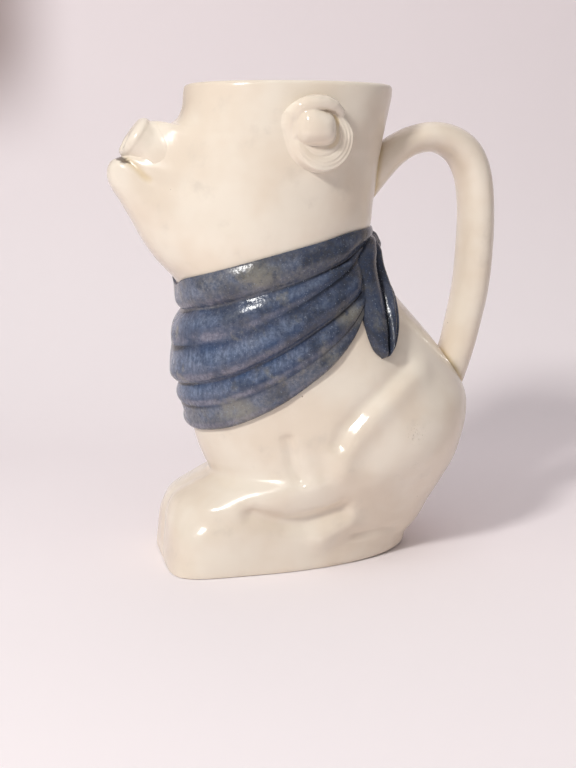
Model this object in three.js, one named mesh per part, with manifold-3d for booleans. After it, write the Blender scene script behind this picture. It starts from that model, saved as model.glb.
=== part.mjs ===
import * as THREE from "three";
import { mergeVertices } from "three/addons/utils/BufferGeometryUtils.js";
import Module from "manifold-3d";

// A glazed earthenware jug in the shape of a seated pig that wears a knotted neckerchief.
// Millimetres, +Z up. The pig looks towards -X, its left and right sides mirror each other
// across Y = 0, and the foot stands on Z = 0.

const wasm = await Module();
wasm.setup();

// Driving sizes
const jugHeight = 240;
const pawReach = 71;
const heelReach = 65;
const footWidth = 79.6;
const chestReach = 54;
const haunchReach = 95.5;
const haunchWidth = 101;
const headReach = 57.8;
const napeReach = 52;
const headWidth = 88;
const snoutReach = 90.6;
const snoutWidth = 33;

// Potting sizes
const wall = 5;
const floorThickness = 7;
const lipThickness = 4.2;
const footRim = 9;
const footRecess = 1.6;
const seatGap = 0.3;

// Facets of the skin: the longest step between rings, the points around a ring, how much closer
// together these lie in front, and the small share of the skin over which a normal is measured.
const ringStep = 12;
const liningStep = 14;
const aroundCount = 48;
const frontCrowding = 0.45;
const lipSteps = 4;
const probeShare = 1e-3;

// The foot rings, from the ground up. Columns: front reach in shares of pawReach, front height
// in shares of jugHeight, back reach in shares of heelReach, back height in shares of jugHeight,
// half width in shares of half footWidth, place of the widest point from front to back, and how
// boxy the front and the back of the oval are, where 2 is an ellipse.
const footShares = [
  [0.955, 0, 0.938, 0, 1, 0.36, 5, 2],
  [0.955, 0.0092, 0.977, 0.0083, 1.01, 0.36, 4.9, 2.05],
  [0.95, 0.033, 1, 0.029, 1.01, 0.37, 4.6, 2.1],
  [0.945, 0.075, 1.103, 0.0625, 1.012, 0.4, 4, 2.15],
  [0.935, 0.108, 1.185, 0.104, 1.04, 0.44, 2.8, 2.15],
];

// The trunk rings, in shares of chestReach, haunchReach and half haunchWidth.
const trunkShares = [
  [1.16, 0.142, 0.88, 0.154, 0.881, 0.48, 2.4, 2.15],
  [0.96, 0.169, 0.948, 0.208, 0.95, 0.53, 2.3, 2.1],
  [0.785, 0.192, 0.977, 0.258, 0.99, 0.58, 2.15, 2.1],
  [0.825, 0.219, 1, 0.304, 1, 0.6, 2.1, 2.1],
  [0.88, 0.25, 0.998, 0.346, 0.99, 0.6, 2.1, 2.1],
  [0.92, 0.283, 0.958, 0.385, 0.97, 0.59, 2.1, 2.05],
  [0.955, 0.333, 0.864, 0.4375, 0.93, 0.57, 2.1, 2],
  [0.981, 0.4, 0.73, 0.5, 0.881, 0.55, 2.1, 2],
  [1, 0.475, 0.591, 0.5625, 0.842, 0.53, 2.1, 2],
  [0.972, 0.55, 0.471, 0.623, 0.822, 0.52, 2.1, 2],
];

// The head rings, in shares of headReach, napeReach and half headWidth.
const headShares = [
  [0.969, 0.6, 0.798, 0.667, 0.955, 0.51, 2.15, 2.05],
  [0.986, 0.633, 0.794, 0.69, 0.973, 0.51, 2.15, 2.05],
  [0.995, 0.667, 0.804, 0.7125, 0.989, 0.51, 2.15, 2.05],
  [1, 0.7, 0.815, 0.733, 0.998, 0.51, 2.15, 2.1],
  [1, 0.733, 0.823, 0.756, 1, 0.51, 2.15, 2.1],
  [0.997, 0.767, 0.842, 0.781, 1, 0.51, 2.15, 2.1],
  [0.991, 0.7875, 0.854, 0.796, 0.998, 0.51, 2.15, 2.1],
  [0.984, 0.808, 0.863, 0.8125, 0.993, 0.51, 2.15, 2.1],
  [0.978, 0.829, 0.873, 0.83, 0.989, 0.51, 2.15, 2.1],
  [0.967, 0.854, 0.887, 0.852, 0.982, 0.51, 2.15, 2.1],
  [0.958, 0.873, 0.9, 0.869, 0.977, 0.51, 2.15, 2.15],
  [0.952, 0.885, 0.91, 0.881, 0.975, 0.51, 2.15, 2.15],
  [0.945, 0.898, 0.919, 0.894, 0.973, 0.51, 2.15, 2.15],
  [0.936, 0.9125, 0.933, 0.91, 0.968, 0.51, 2.2, 2.2],
  [0.927, 0.931, 0.95, 0.929, 0.966, 0.51, 2.2, 2.2],
  [0.917, 0.954, 0.975, 0.954, 0.961, 0.51, 2.2, 2.2],
  [0.903, 0.979, 0.996, 0.979, 0.957, 0.51, 2.2, 2.2],
  [0.895, 0.991, 1, 0.991, 0.955, 0.51, 2.2, 2.2],
];

// The snout on the head rings, in the same order: reach of its tip in shares of snoutReach,
// height of its tip in shares of jugHeight, half width in shares of half snoutWidth, and how
// much of it is hollow inside.
const snoutShares = [
  [0.638, 0.601, 1.3, 1],
  [0.744, 0.645, 1.3, 1],
  [0.823, 0.686, 1.25, 1],
  [0.882, 0.7275, 1.2, 1],
  [0.941, 0.768, 1.12, 1],
  [0.994, 0.804, 1, 1],
  [1, 0.828, 0.95, 1],
  [0.975, 0.847, 0.97, 1],
  [0.907, 0.86, 1, 1],
  [0.845, 0.889, 1, 0.95],
  [0.785, 0.918, 1, 0.6],
  [0.757, 0.926, 1, 0.3],
  [0.717, 0.9262, 1, 0.1],
  [0.666, 0.9215, 1, 0],
  [0.618, 0.931, 1, 0],
  [0.585, 0.954, 1, 0],
  [0.576, 0.979, 1, 0],
  [0.571, 0.991, 1, 0],
];

// One ring of the skin in real sizes, from a row of shares and the sizes that it follows.
function ringOf(row, front, back, half, snout) {
  const [fx, fz, bx, bz, width, widest, frontFull, backFull] = row;
  const foot = [-fx * front, fz * jugHeight, bx * back, bz * jugHeight, width * half];
  const [tx, tz, tw, hollow] = snout;
  const reach = tx * snoutReach - fx * front;
  const rise = (tz - fz) * jugHeight;
  return [...foot, widest, frontFull, backFull, reach, rise, (tw * snoutWidth) / 2, hollow];
}

// Reach and rise of no snout at all, for the rings below the throat.
function noSnout(row, front) {
  return [(row[0] * front) / snoutReach, row[1], snoutShares[0][2], 0];
}

function allRings() {
  const foot = footShares.map((r) =>
    ringOf(r, pawReach, heelReach, footWidth / 2, noSnout(r, pawReach)));
  const trunk = trunkShares.map((r) =>
    ringOf(r, chestReach, haunchReach, haunchWidth / 2, noSnout(r, chestReach)));
  const head = headShares.map((r, i) =>
    ringOf(r, headReach, napeReach, headWidth / 2, snoutShares[i]));
  const brim = jugHeight - lipThickness / 2;
  head.at(-1)[1] = brim;
  head.at(-1)[3] = brim;
  head.at(-1)[9] = 0;
  return [...foot, ...trunk, ...head];
}

// The rings are blended along the body by a cubic, spaced as far as their rails are long.
function bodyRails() {
  const rings = allRings();
  const times = [0];
  for (let i = 1; i < rings.length; i++) {
    const [a, b] = [rings[i - 1], rings[i]];
    const front = Math.hypot(b[0] - b[8] - a[0] + a[8], b[1] + b[9] - a[1] - a[9]);
    const back = Math.hypot(b[2] - a[2], b[3] - a[3]);
    times.push(times[i - 1] + (front + back) / 2);
  }
  const blend = new THREE.CubicInterpolant(times, rings.flat(), rings[0].length);
  return { times, at: (v) => Array.from(blend.evaluate(v)) };
}

const rails = bodyRails();
const skinEnd = rails.times.at(-1);

// A fall from 1 to 0 with a flat top and a soft skirt.
function bell(share) {
  return 1 / (1 + share ** 4);
}

// A point of the plain skin: v runs up the body, t once around it from the front, and inset
// moves the ring inwards.
function skinAt(v, t, inset = 0) {
  const [fx, fz, bx, bz, half, widest, nf, nb, reach, rise, snoutHalf, hollow] = rails.at(v);
  const centre = new THREE.Vector2(fx, fz).lerp(new THREE.Vector2(bx, bz), widest);
  const forward = new THREE.Vector2(fx - bx, fz - bz);
  const length = forward.length();
  forward.normalize();
  const turn = 2 * Math.PI * t - frontCrowding * Math.sin(2 * Math.PI * t);
  const c = Math.cos(turn);
  const s = Math.sin(turn);
  const a = length * (c > 0 ? widest : 1 - widest) - inset;
  const b = half - inset;
  const n = c > 0 ? nf : nb;
  const r = ((Math.abs(c) / a) ** n + (Math.abs(s) / b) ** n) ** (-1 / n);
  const ahead = c > 0 ? c * c * (3 - 2 * c) : 0;
  const share = ahead * bell((r * s) / (snoutHalf - inset)) * (inset > 0 ? hollow : 1);
  return new THREE.Vector3(
    centre.x + forward.x * r * c - reach * share,
    r * s,
    centre.y + forward.y * r * c + rise * share,
  );
}

function normalAt(v, t) {
  const dv = skinEnd * probeShare;
  const up = skinAt(Math.min(v + dv, skinEnd), t).sub(skinAt(Math.max(v - dv, 0), t));
  const around = skinAt(v, t + probeShare).sub(skinAt(v, t - probeShare));
  return up.cross(around).normalize();
}

// Soft ridges and hollows modelled on both flanks. Each follows a path seen from the side, with
// X in shares of haunchReach and Z in shares of jugHeight. How wide it spreads and how far it
// stands proud are shares of reliefSpread and reliefRise.
const reliefSpread = 5;
const reliefRise = 3;
const flankReliefs = [
  {
    // thigh
    shares: [[0.622, 0.415], [0.508, 0.393], [0.415, 0.363], [0.314, 0.327], [0.225, 0.287],
      [0.174, 0.257], [0.165, 0.225]],
    spreadShare: 1.3,
    riseShare: 0.87,
  },
  {
    // fold above the thigh
    shares: [[0.513, 0.427], [0.378, 0.385], [0.264, 0.348], [0.183, 0.312], [0.142, 0.28]],
    spreadShare: 0.84,
    riseShare: -0.8,
  },
  {
    // hollow between belly and foot
    shares: [[-0.293, 0.131], [-0.209, 0.118], [-0.115, 0.107], [-0.021, 0.106], [0.084, 0.115],
      [0.188, 0.129]],
    spreadShare: 0.96,
    riseShare: -1.4,
  },
  {
    // hind trotter
    shares: [[0.083, 0.073], [0.156, 0.092], [0.223, 0.105]],
    spreadShare: 1.3,
    riseShare: 0.93,
  },
  {
    // crease behind the trotter
    shares: [[0.28, 0.066], [0.415, 0.068], [0.55, 0.062]],
    spreadShare: 0.64,
    riseShare: -0.47,
  },
  {
    // elbow
    shares: [[-0.109, 0.285], [-0.088, 0.235], [-0.053, 0.206]],
    spreadShare: 0.62,
    riseShare: -0.7,
  },
  {
    // forearm
    shares: [[-0.031, 0.275], [-0.005, 0.233], [0.042, 0.196]],
    spreadShare: 1,
    riseShare: 0.3,
  },
  {
    // fore trotter
    shares: [[-0.643, 0.1], [-0.518, 0.125]],
    spreadShare: 2,
    riseShare: 0.53,
  },
];
const cleftSpread = 4.5;
const cleftDepth = 1.2;
const cleftTopShare = 0.2;

// Distance from a point to a path of straight pieces, both seen from the side.
function pathDistance(x, z, path) {
  let nearest = Infinity;
  for (let i = 1; i < path.length; i++) {
    const [ax, az] = path[i - 1];
    const [bx, bz] = path[i];
    const along = ((x - ax) * (bx - ax) + (z - az) * (bz - az)) / ((bx - ax) ** 2 + (bz - az) ** 2);
    const k = THREE.MathUtils.clamp(along, 0, 1);
    nearest = Math.min(nearest, Math.hypot(ax + (bx - ax) * k - x, az + (bz - az) * k - z));
  }
  return nearest;
}

const reliefPaths = flankReliefs.map(({ shares, spreadShare, riseShare }) => ({
  path: shares.map(([x, z]) => [x * haunchReach, z * jugHeight]),
  spread: spreadShare * reliefSpread,
  rise: riseShare * reliefRise,
}));

// How far the modelling stands proud of the plain skin: the flank reliefs on the sides, and the
// cleft between the fore trotters in front.
function reliefAt(point, normal) {
  let rise = 0;
  for (const relief of reliefPaths) {
    const reach = pathDistance(point.x, point.z, relief.path) / relief.spread;
    rise += relief.rise * Math.abs(normal.y) * Math.exp(-reach * reach);
  }
  const height = point.z / (cleftTopShare * jugHeight);
  const middle = Math.exp(-((point.y / cleftSpread) ** 2));
  if (normal.x < 0 && height < 1) {
    rise += cleftDepth * normal.x * middle * Math.sqrt(Math.sin(Math.PI * height));
  }
  return rise;
}

// A point of the finished skin, lifted off it by a distance.
function outerAt(v, t, lift = 0) {
  const point = skinAt(v, t);
  const normal = normalAt(v, t);
  return point.addScaledVector(normal, reliefAt(point, normal) + lift);
}

// Values along the skin between two ends, with each ring of the table kept.
function skinSteps(start, end, step) {
  const stops = [start, ...rails.times.filter((v) => v > start && v < end), end];
  const steps = [start];
  for (let i = 1; i < stops.length; i++) {
    const count = Math.ceil((stops[i] - stops[i - 1]) / step);
    for (let k = 1; k <= count; k++) {
      steps.push(THREE.MathUtils.lerp(stops[i - 1], stops[i], k / count));
    }
  }
  return steps;
}

const aroundSteps = Array.from({ length: aroundCount }, (_, j) => j / aroundCount);

function ringAt(make) {
  return aroundSteps.map(make);
}

// A closed surface woven from rows of points. A row of one point closes an end, and wrapped
// rows close on each other.
function weave(rows, wrapped = false) {
  const starts = [];
  let total = 0;
  for (const row of rows) {
    starts.push(total);
    total += row.length;
  }
  const at = (i, j) => starts[i] + (j % rows[i].length);
  const index = [];
  const count = Math.max(...rows.map((row) => row.length));
  const last = wrapped ? rows.length : rows.length - 1;
  for (let i = 0; i < last; i++) {
    const k = (i + 1) % rows.length;
    for (let j = 0; j < count; j++) {
      if (rows[k].length > 1) index.push(at(i, j), at(k, j), at(k, j + 1));
      if (rows[i].length > 1) index.push(at(i, j), at(k, j + 1), at(i, j + 1));
    }
  }
  const geometry = new THREE.BufferGeometry().setFromPoints(rows.flat());
  return geometry.setIndex(index);
}

function solidOf(geometry) {
  const plain = geometry.clone();
  plain.deleteAttribute("normal");
  plain.deleteAttribute("uv");
  const merged = mergeVertices(plain);
  const vertProperties = merged.attributes.position.array;
  const triVerts = new Uint32Array(merged.index.array);
  return new wasm.Manifold(new wasm.Mesh({ numProp: 3, vertProperties, triVerts }));
}

function geometryOf(solid) {
  const { vertProperties, triVerts } = solid.getMesh();
  const geometry = new THREE.BufferGeometry();
  geometry.setAttribute("position", new THREE.BufferAttribute(vertProperties, 3));
  geometry.setIndex(new THREE.BufferAttribute(triVerts, 1));
  return geometry;
}

// The same solid on the other side of the pig.
function mirrored(solid) {
  return solid.mirror([0, 1, 0]);
}

// The body: one wall from the underside, up the outside, over the lip, down the inside and
// across the floor.
const floorEdge = rails.times[3];
const floorCornerShares = [1.3, 2.2];

function levelRing(v, inset, z) {
  return ringAt((t) => skinAt(v, t, inset).setZ(z));
}

function undersideRows() {
  const middle = skinAt(0, 0.25).setY(0).setZ(footRecess);
  return [
    [middle],
    levelRing(0, footRim + footRecess, footRecess),
    levelRing(0, footRim, 0),
  ];
}

function lipRows() {
  const radius = lipThickness / 2;
  const rows = [];
  for (let k = 1; k <= lipSteps; k++) {
    const turn = (Math.PI * k) / lipSteps;
    const z = jugHeight - radius + radius * Math.sin(turn);
    rows.push(levelRing(skinEnd, radius * (1 - Math.cos(turn)), z));
  }
  return rows;
}

function liningRows() {
  const top = rails.times.at(-2);
  const count = Math.ceil((top - floorEdge) / liningStep);
  const rows = [];
  for (let k = 0; k <= count; k++) {
    const v = THREE.MathUtils.lerp(top, floorEdge, k / count);
    rows.push(ringAt((t) => skinAt(v, t, wall)));
  }
  const [high, low] = floorCornerShares;
  rows.push(levelRing(floorEdge, wall * high, floorThickness + wall / 2));
  rows.push(levelRing(floorEdge, wall * low, floorThickness));
  rows.push([skinAt(floorEdge, 0.25).setY(0).setZ(floorThickness)]);
  return rows;
}

function outerRows(lift = 0) {
  return skinSteps(0, skinEnd, ringStep).map((v) => ringAt((t) => outerAt(v, t, lift)));
}

// The filled outside of the body, one seat gap proud of it, which cuts whatever sits on it.
function bodySeat() {
  const rows = outerRows(seatGap);
  const low = skinAt(0, 0.25).setY(0).setZ(-seatGap);
  const high = skinAt(skinEnd, 0.25).setY(0).setZ(jugHeight);
  return solidOf(weave([[low], ...rows, [high]]));
}

// The mouth is a flat slit that runs back and down from the front of the snout into the hollow
// head. The jug pours through it.
const mouthWidth = 19;
const mouthHeight = 2.4;
const mouthDepth = 24;
const mouthDip = THREE.MathUtils.degToRad(38);
const mouthReachShare = 0.957;
const mouthHeightShare = 0.858;
const roundSides = 20;

function mouthCut() {
  const slit = new THREE.CylinderGeometry(1, 1, 1, roundSides);
  slit.scale(mouthHeight / 2, mouthDepth, mouthWidth / 2);
  slit.rotateZ(-Math.PI / 2).rotateX(Math.PI / 2).rotateY(mouthDip);
  slit.translate(-mouthReachShare * snoutReach, 0, mouthHeightShare * jugHeight);
  return solidOf(slit);
}

function bodyShell() {
  const rows = [...undersideRows(), ...outerRows(), ...lipRows(), ...liningRows()];
  return solidOf(weave(rows)).subtract(mouthCut());
}

// A tapering bar swept along a curve in a plane of constant Y. Rows give the place of the centre
// line and the half sizes of the section across the plane and along Y, at like spacing.
const sweepSides = 12;
const sweepFullness = 2.3;

function sweep(places, halves, count, fullness = sweepFullness) {
  const path = new THREE.CatmullRomCurve3(places, false, "catmullrom");
  const sizes = new THREE.CatmullRomCurve3(halves, false, "catmullrom");
  const across = new THREE.Vector3(0, 1, 0);
  const rows = [[path.getPoint(0)]];
  for (let i = 0; i <= count; i++) {
    const centre = path.getPoint(i / count);
    const size = sizes.getPoint(i / count);
    const normal = path.getTangent(i / count).cross(across).normalize();
    const row = [];
    for (let k = 0; k < sweepSides; k++) {
      const turn = (2 * Math.PI * k) / sweepSides;
      const c = Math.sign(Math.cos(turn)) * Math.abs(Math.cos(turn)) ** (2 / fullness);
      const s = Math.sign(Math.sin(turn)) * Math.abs(Math.sin(turn)) ** (2 / fullness);
      const point = centre.clone().addScaledVector(normal, size.x * c);
      row.push(point.addScaledVector(across, size.y * s));
    }
    rows.push(row);
  }
  rows.push([path.getPoint(1)]);
  return solidOf(weave(rows));
}

// The handle, an oval strap from the nape over the fingers and down to the haunches. Columns:
// reach in shares of gripReach, height in shares of jugHeight, thickness and width in shares of
// gripThickness and gripWidth.
const gripReach = 101.6;
const gripThickness = 20.8;
const gripWidth = 27;
const gripSteps = 26;
const gripShares = [
  [0.275, 0.75, 0.95, 0.95],
  [0.362, 0.791, 0.93, 0.95],
  [0.457, 0.8335, 0.84, 0.95],
  [0.545, 0.866, 0.75, 0.92],
  [0.646, 0.889, 0.71, 0.9],
  [0.76, 0.8975, 0.74, 0.9],
  [0.861, 0.886, 0.83, 0.92],
  [0.936, 0.8595, 0.89, 0.95],
  [0.984, 0.8145, 0.88, 0.98],
  [1.005, 0.75, 0.86, 1],
  [1.005, 0.667, 0.88, 1],
  [0.988, 0.575, 0.87, 1],
  [0.951, 0.496, 0.85, 0.98],
  [0.914, 0.433, 0.83, 0.96],
  [0.86, 0.375, 0.85, 0.96],
  [0.778, 0.317, 0.9, 0.96],
];

function handle(seat) {
  const places = gripShares.map(([x, z]) =>
    new THREE.Vector3(x * gripReach, 0, z * jugHeight));
  const halves = gripShares.map(([, , thick, wide]) =>
    new THREE.Vector3((thick * gripThickness) / 2, (wide * gripWidth) / 2, 0));
  return sweep(places, halves, gripSteps).subtract(seat);
}

// The place along the skin where it passes a height, for one place around it.
const seekSteps = 30;

function skinAtHeight(t, z) {
  let low = 0;
  let high = skinEnd;
  for (let i = 0; i < seekSteps; i++) {
    const v = (low + high) / 2;
    if (skinAt(v, t).z < z) low = v;
    else high = v;
  }
  return (low + high) / 2;
}

function ball(centre, x, y, z) {
  const shape = new THREE.SphereGeometry(1, ballSides, ballSides / 2);
  shape.scale(x, y, z).translate(centre.x, centre.y, centre.z);
  return solidOf(shape);
}

// An ear: a saucer laid on the side of the head, a round lobe in it, and a rolled edge over the
// top. Places are in shares of half earLength from the saucer's centre, backward and up. What
// stands out from the head is in shares of earDepth.
const earLength = 34.4;
const earBreadth = 31;
const earDepth = 12;
const earRoundShare = 0.3306;
const earHeightShare = 0.8942;
const ballSides = 12;
const saucerShares = { out: 0.12, depth: 0.62 };
const lobeShares = { back: -0.087, up: 0.198, out: 0.29, size: 0.477 };
const earRollSteps = 12;
const earRollFullness = 2;
const earRollFillShare = 1.6;

// The rolled edge. Columns: place back and up, how far its crest stands out, and its half size.
const earRollShares = [
  [-0.709, -0.18, 0.138, 0.14],
  [-0.744, 0.052, 0.288, 0.186],
  [-0.733, 0.302, 0.42, 0.215],
  [-0.651, 0.535, 0.554, 0.233],
  [-0.512, 0.709, 0.67, 0.244],
  [-0.326, 0.814, 0.738, 0.244],
  [-0.105, 0.855, 0.754, 0.233],
  [0.116, 0.849, 0.729, 0.209],
  [0.326, 0.791, 0.67, 0.174],
  [0.5, 0.651, 0.538, 0.14],
  [0.564, 0.453, 0.354, 0.093],
];

function earRight(seat) {
  const root = skinAt(skinAtHeight(earRoundShare, earHeightShare * jugHeight), earRoundShare);
  const half = earLength / 2;
  const place = (back, up, out) => root.clone().add(new THREE.Vector3(back * half, out, up * half));
  const { out: saucerOut, depth } = saucerShares;
  const saucer = ball(place(0, 0, saucerOut * earDepth), earBreadth / 2, depth * earDepth, half);
  const { back, up, out, size } = lobeShares;
  const lobe = ball(place(back, up, out * earDepth), size * half, size * half, size * half);
  const places = earRollShares.map(([x, z, crest, r]) =>
    place(x, z, crest * earDepth - r * half * earRollFillShare));
  const halves = earRollShares.map(([, , , r]) =>
    new THREE.Vector3(r * half, r * half * earRollFillShare, 0));
  const roll = sweep(places, halves, earRollSteps, earRollFullness);
  return saucer.add(lobe).add(roll).subtract(seat);
}

// The band of the neckerchief lies round the neck and down the chest in five folds, each tucked
// under the one above. Columns: place around in shares of a turn from the front, height of the
// upper and the lower edge in shares of jugHeight, and the four tucks between the folds in
// shares of the way from the upper edge to the lower one.
const scarfShares = [
  [-0.1, 0.615, 0.307, 0.195, 0.422, 0.667, 0.834],
  [0, 0.596, 0.291, 0.17, 0.41, 0.66, 0.81],
  [0.1, 0.615, 0.307, 0.195, 0.422, 0.667, 0.834],
  [0.15, 0.625, 0.332, 0.218, 0.45, 0.68, 0.845],
  [0.2, 0.638, 0.3645, 0.238, 0.468, 0.687, 0.858],
  [0.25, 0.654, 0.4015, 0.268, 0.463, 0.7, 0.872],
  [0.3, 0.671, 0.4405, 0.308, 0.46, 0.708, 0.883],
  [0.36, 0.691, 0.5015, 0.36, 0.466, 0.75, 0.91],
  [0.4, 0.7045, 0.556, 0.42, 0.49, 0.815, 0.935],
  [0.44, 0.711, 0.612, 0.4, 0.48, 0.79, 0.93],
  [0.5, 0.712, 0.65, 0.38, 0.46, 0.76, 0.92],
  [0.56, 0.711, 0.612, 0.4, 0.48, 0.79, 0.93],
];
const foldCrown = 8.2;
const foldCrownShares = [0.54, 0.78, 1, 0.63, 0.42];
const foldTuckShares = [0.1, 0.24, 0.72, 0.46, 0.48, 0.16];
const foldFullShare = 0.12;
const foldSagShare = 1.3;
const foldRoundShare = 0.72;
const napeFlatShare = 0.62;
const pressShares = { start: 0.76, end: 0.86, depth: 0.7 };
const foldSteps = 4;
const scarfLiningSteps = 6;
const scarfSink = 1.5;

const scarfBlend = new THREE.CubicInterpolant(
  scarfShares.map(([t]) => t), scarfShares.flatMap((row) => row.slice(1)), scarfShares[0].length - 1);

// The band at one place around the neck: its edges along the skin and its tucks.
function scarfColumn(t) {
  const [high, deep, ...tucks] = scarfBlend.evaluate(Math.min(t, 1 - t));
  const [up, low] = [high, deep].map((share) => skinAtHeight(t, share * jugHeight));
  return { t, up, low, tucks: [0, ...tucks, 1] };
}

// How thick the cloth stands at a share of the way across one fold. The crown sags towards the
// lower edge, and a narrow fold rises less. The folds lie flatter towards the nape, and under
// the loose ends they are pressed thin.
function foldLift({ t, tucks }, fold, across) {
  const nape = Math.min(t, 1 - t) * 2;
  const pressed = THREE.MathUtils.smoothstep(nape, pressShares.start, pressShares.end);
  const thin = 1 - pressShares.depth * pressed * (fold > 0 ? 1 : across);
  const flat = (1 - napeFlatShare * nape ** 3) * thin;
  const rest = THREE.MathUtils.lerp(foldTuckShares[fold], foldTuckShares[fold + 1], across);
  const full = Math.min(1, (tucks[fold + 1] - tucks[fold]) / foldFullShare);
  const rise = full * Math.max(0, Math.sin(Math.PI * across ** foldSagShare)) ** foldRoundShare;
  return foldCrown * flat * THREE.MathUtils.lerp(rest, Math.max(rest, foldCrownShares[fold]), rise);
}

// How high the band stands at a place on the skin, which is nothing where there is no band.
function scarfLiftAt(v, t) {
  const column = scarfColumn(t);
  const share = (column.up - v) / (column.up - column.low);
  if (share < 0 || share > 1) return 0;
  const { tucks } = column;
  const fold = Math.max(0, tucks.findIndex((tuck) => share <= tuck) - 1);
  return foldLift(column, fold, (share - tucks[fold]) / (tucks[fold + 1] - tucks[fold]));
}

function scarfForm(grow = 0) {
  const columns = aroundSteps.map(scarfColumn).map((column) => {
    const { t, up, low, tucks } = column;
    const place = (share, lift) =>
      outerAt(THREE.MathUtils.lerp(up + grow, low - grow, share), t, lift);
    const face = [place(0, seatGap + foldLift(column, 0, 0) + grow)];
    for (let fold = 0; fold < foldCrownShares.length; fold++) {
      for (let k = 1; k <= foldSteps; k++) {
        const across = k / foldSteps;
        const share = THREE.MathUtils.lerp(tucks[fold], tucks[fold + 1], across);
        face.push(place(share, seatGap + foldLift(column, fold, across) + grow));
      }
    }
    const lining = [];
    for (let k = 0; k <= scarfLiningSteps; k++) {
      lining.push(place(k / scarfLiningSteps, -scarfSink));
    }
    return [...face.reverse(), ...lining];
  });
  const rows = columns[0].map((_, i) => columns.map((column) => column[i]));
  return solidOf(weave(rows, true));
}

// The knot at the nape.
const knotWidth = 21;
const knotHeight = 17;
const knotDepth = 7.5;
const knotHeightShare = 0.668;

function knotForm(grow = 0) {
  const nape = skinAt(skinAtHeight(0.5, knotHeightShare * jugHeight), 0.5).setY(0);
  return ball(nape, knotDepth + grow, knotWidth / 2 + grow, knotHeight / 2 + grow);
}

// The two loose ends fan out from the knot over the shoulders. Columns, from the knot to the
// tip: place around and height of the front edge, then of the back edge.
const tailShares = [
  [0.455, 0.67, 0.486, 0.68],
  [0.43, 0.648, 0.483, 0.645],
  [0.412, 0.608, 0.474, 0.608],
  [0.394, 0.558, 0.459, 0.573],
  [0.379, 0.517, 0.442, 0.542],
  [0.371, 0.4875, 0.423, 0.51],
  [0.367, 0.4646, 0.401, 0.477],
  [0.37, 0.4483, 0.381, 0.4517],
];
const tailFoldShares = [
  [0.58, 0.95],
  [0.84, 1],
  [1, 0.55],
];
const tailCrown = 6;
const tailValley = 2.6;
const tailEdge = 1.4;
const tailSink = 2;
const tailFoldSteps = 3;
const tailSteps = 9;

function tailStops() {
  const stops = [{ share: 0, lift: tailEdge }];
  let start = 0;
  for (const [end, crown] of tailFoldShares) {
    for (let k = 1; k <= tailFoldSteps; k++) {
      const rest = end === 1 && k === tailFoldSteps ? tailEdge : tailValley;
      const rise = Math.max(0, Math.sin((Math.PI * k) / tailFoldSteps)) ** foldRoundShare;
      const share = THREE.MathUtils.lerp(start, end, k / tailFoldSteps);
      stops.push({ share, lift: rest + (crown * tailCrown - rest) * rise });
    }
    start = end;
  }
  return stops;
}

function tailRight(seats) {
  const times = tailShares.map((_, i) => i / (tailShares.length - 1));
  const blend = new THREE.CubicInterpolant(times, tailShares.flat(), tailShares[0].length);
  const stops = tailStops();
  const rows = [];
  const place = ([t0, z0, t1, z1], share, lift) => {
    const t = THREE.MathUtils.lerp(t0, t1, share);
    const v = skinAtHeight(t, THREE.MathUtils.lerp(z0, z1, share) * jugHeight);
    const over = lift > 0 ? scarfLiftAt(v, t) : 0;
    return outerAt(v, t, seatGap + (over > 0 ? Math.max(lift, over + tailEdge) : lift));
  };
  for (let i = 0; i <= tailSteps; i++) {
    const edges = Array.from(blend.evaluate(i / tailSteps));
    const face = stops.map(({ share, lift }) => place(edges, share, lift)).reverse();
    rows.push([...face, ...stops.map(({ share }) => place(edges, share, -tailSink))]);
  }
  const first = place(tailShares[0], 1 / 2, 0);
  const last = place(tailShares.at(-1), 1 / 2, tailEdge / 2);
  const form = solidOf(weave([[first], ...rows, [last]]));
  return seats.reduce((solid, seat) => solid.subtract(seat), form);
}

// The flat disc on the end of the snout, with a rounded edge and two blind nostrils below its
// middle.
const discHeight = 22;
const discWidth = 27;
const discDome = 0.5;
const discEdge = 3.8;
const discBack = 9.5;
const discPlaceShares = [0.8786, 0.901];
const discTilt = THREE.MathUtils.degToRad(54.8);
const discRimStart = THREE.MathUtils.degToRad(-30);
const discSides = 24;
const discRimSteps = 4;
const nostrilSpread = 10;
const nostrilSize = 2.2;
const nostrilHeight = 3;
const nostrilSides = 12;
const nostrilDrop = 5;

// Moves a shape made round the Z axis to the front of the snout, Z outwards.
function toSnout(shape) {
  const [reach, height] = discPlaceShares;
  shape.rotateY(-discTilt);
  return shape.translate(-reach * snoutReach, 0, height * jugHeight);
}

function discForm() {
  const flat = discHeight / 2 - discEdge;
  const rim = new THREE.EllipseCurve(
    flat, -discEdge, discEdge, discEdge, discRimStart, Math.PI / 2);
  const profile = [new THREE.Vector2(0, -discBack)];
  profile.push(new THREE.Vector2(flat + discEdge * Math.cos(discRimStart), -discBack));
  profile.push(...rim.getPoints(discRimSteps), new THREE.Vector2(0, discDome));
  const disc = new THREE.LatheGeometry(profile, discSides).rotateX(Math.PI / 2);
  disc.scale(1, discWidth / discHeight, 1);
  return solidOf(toSnout(disc));
}

function nostril(side) {
  const dent = new THREE.SphereGeometry(1, nostrilSides, nostrilSides / 2);
  dent.scale(nostrilHeight, nostrilSize, nostrilSize);
  dent.translate(-nostrilDrop, (side * nostrilSpread) / 2, 0);
  return solidOf(toSnout(dent));
}

function snoutDisc(seat) {
  return discForm().subtract(seat).subtract(nostril(1)).subtract(nostril(-1));
}

const creamGlaze = { color: 0xe8dccb, roughness: 0.16, metalness: 0 };
const blueGlaze = { color: 0x46597e, roughness: 0.28, metalness: 0 };

const pig = new THREE.Group();

function place(name, solid, glaze) {
  const mesh = new THREE.Mesh(geometryOf(solid), new THREE.MeshStandardMaterial(glaze));
  mesh.name = name;
  pig.add(mesh);
}

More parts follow.
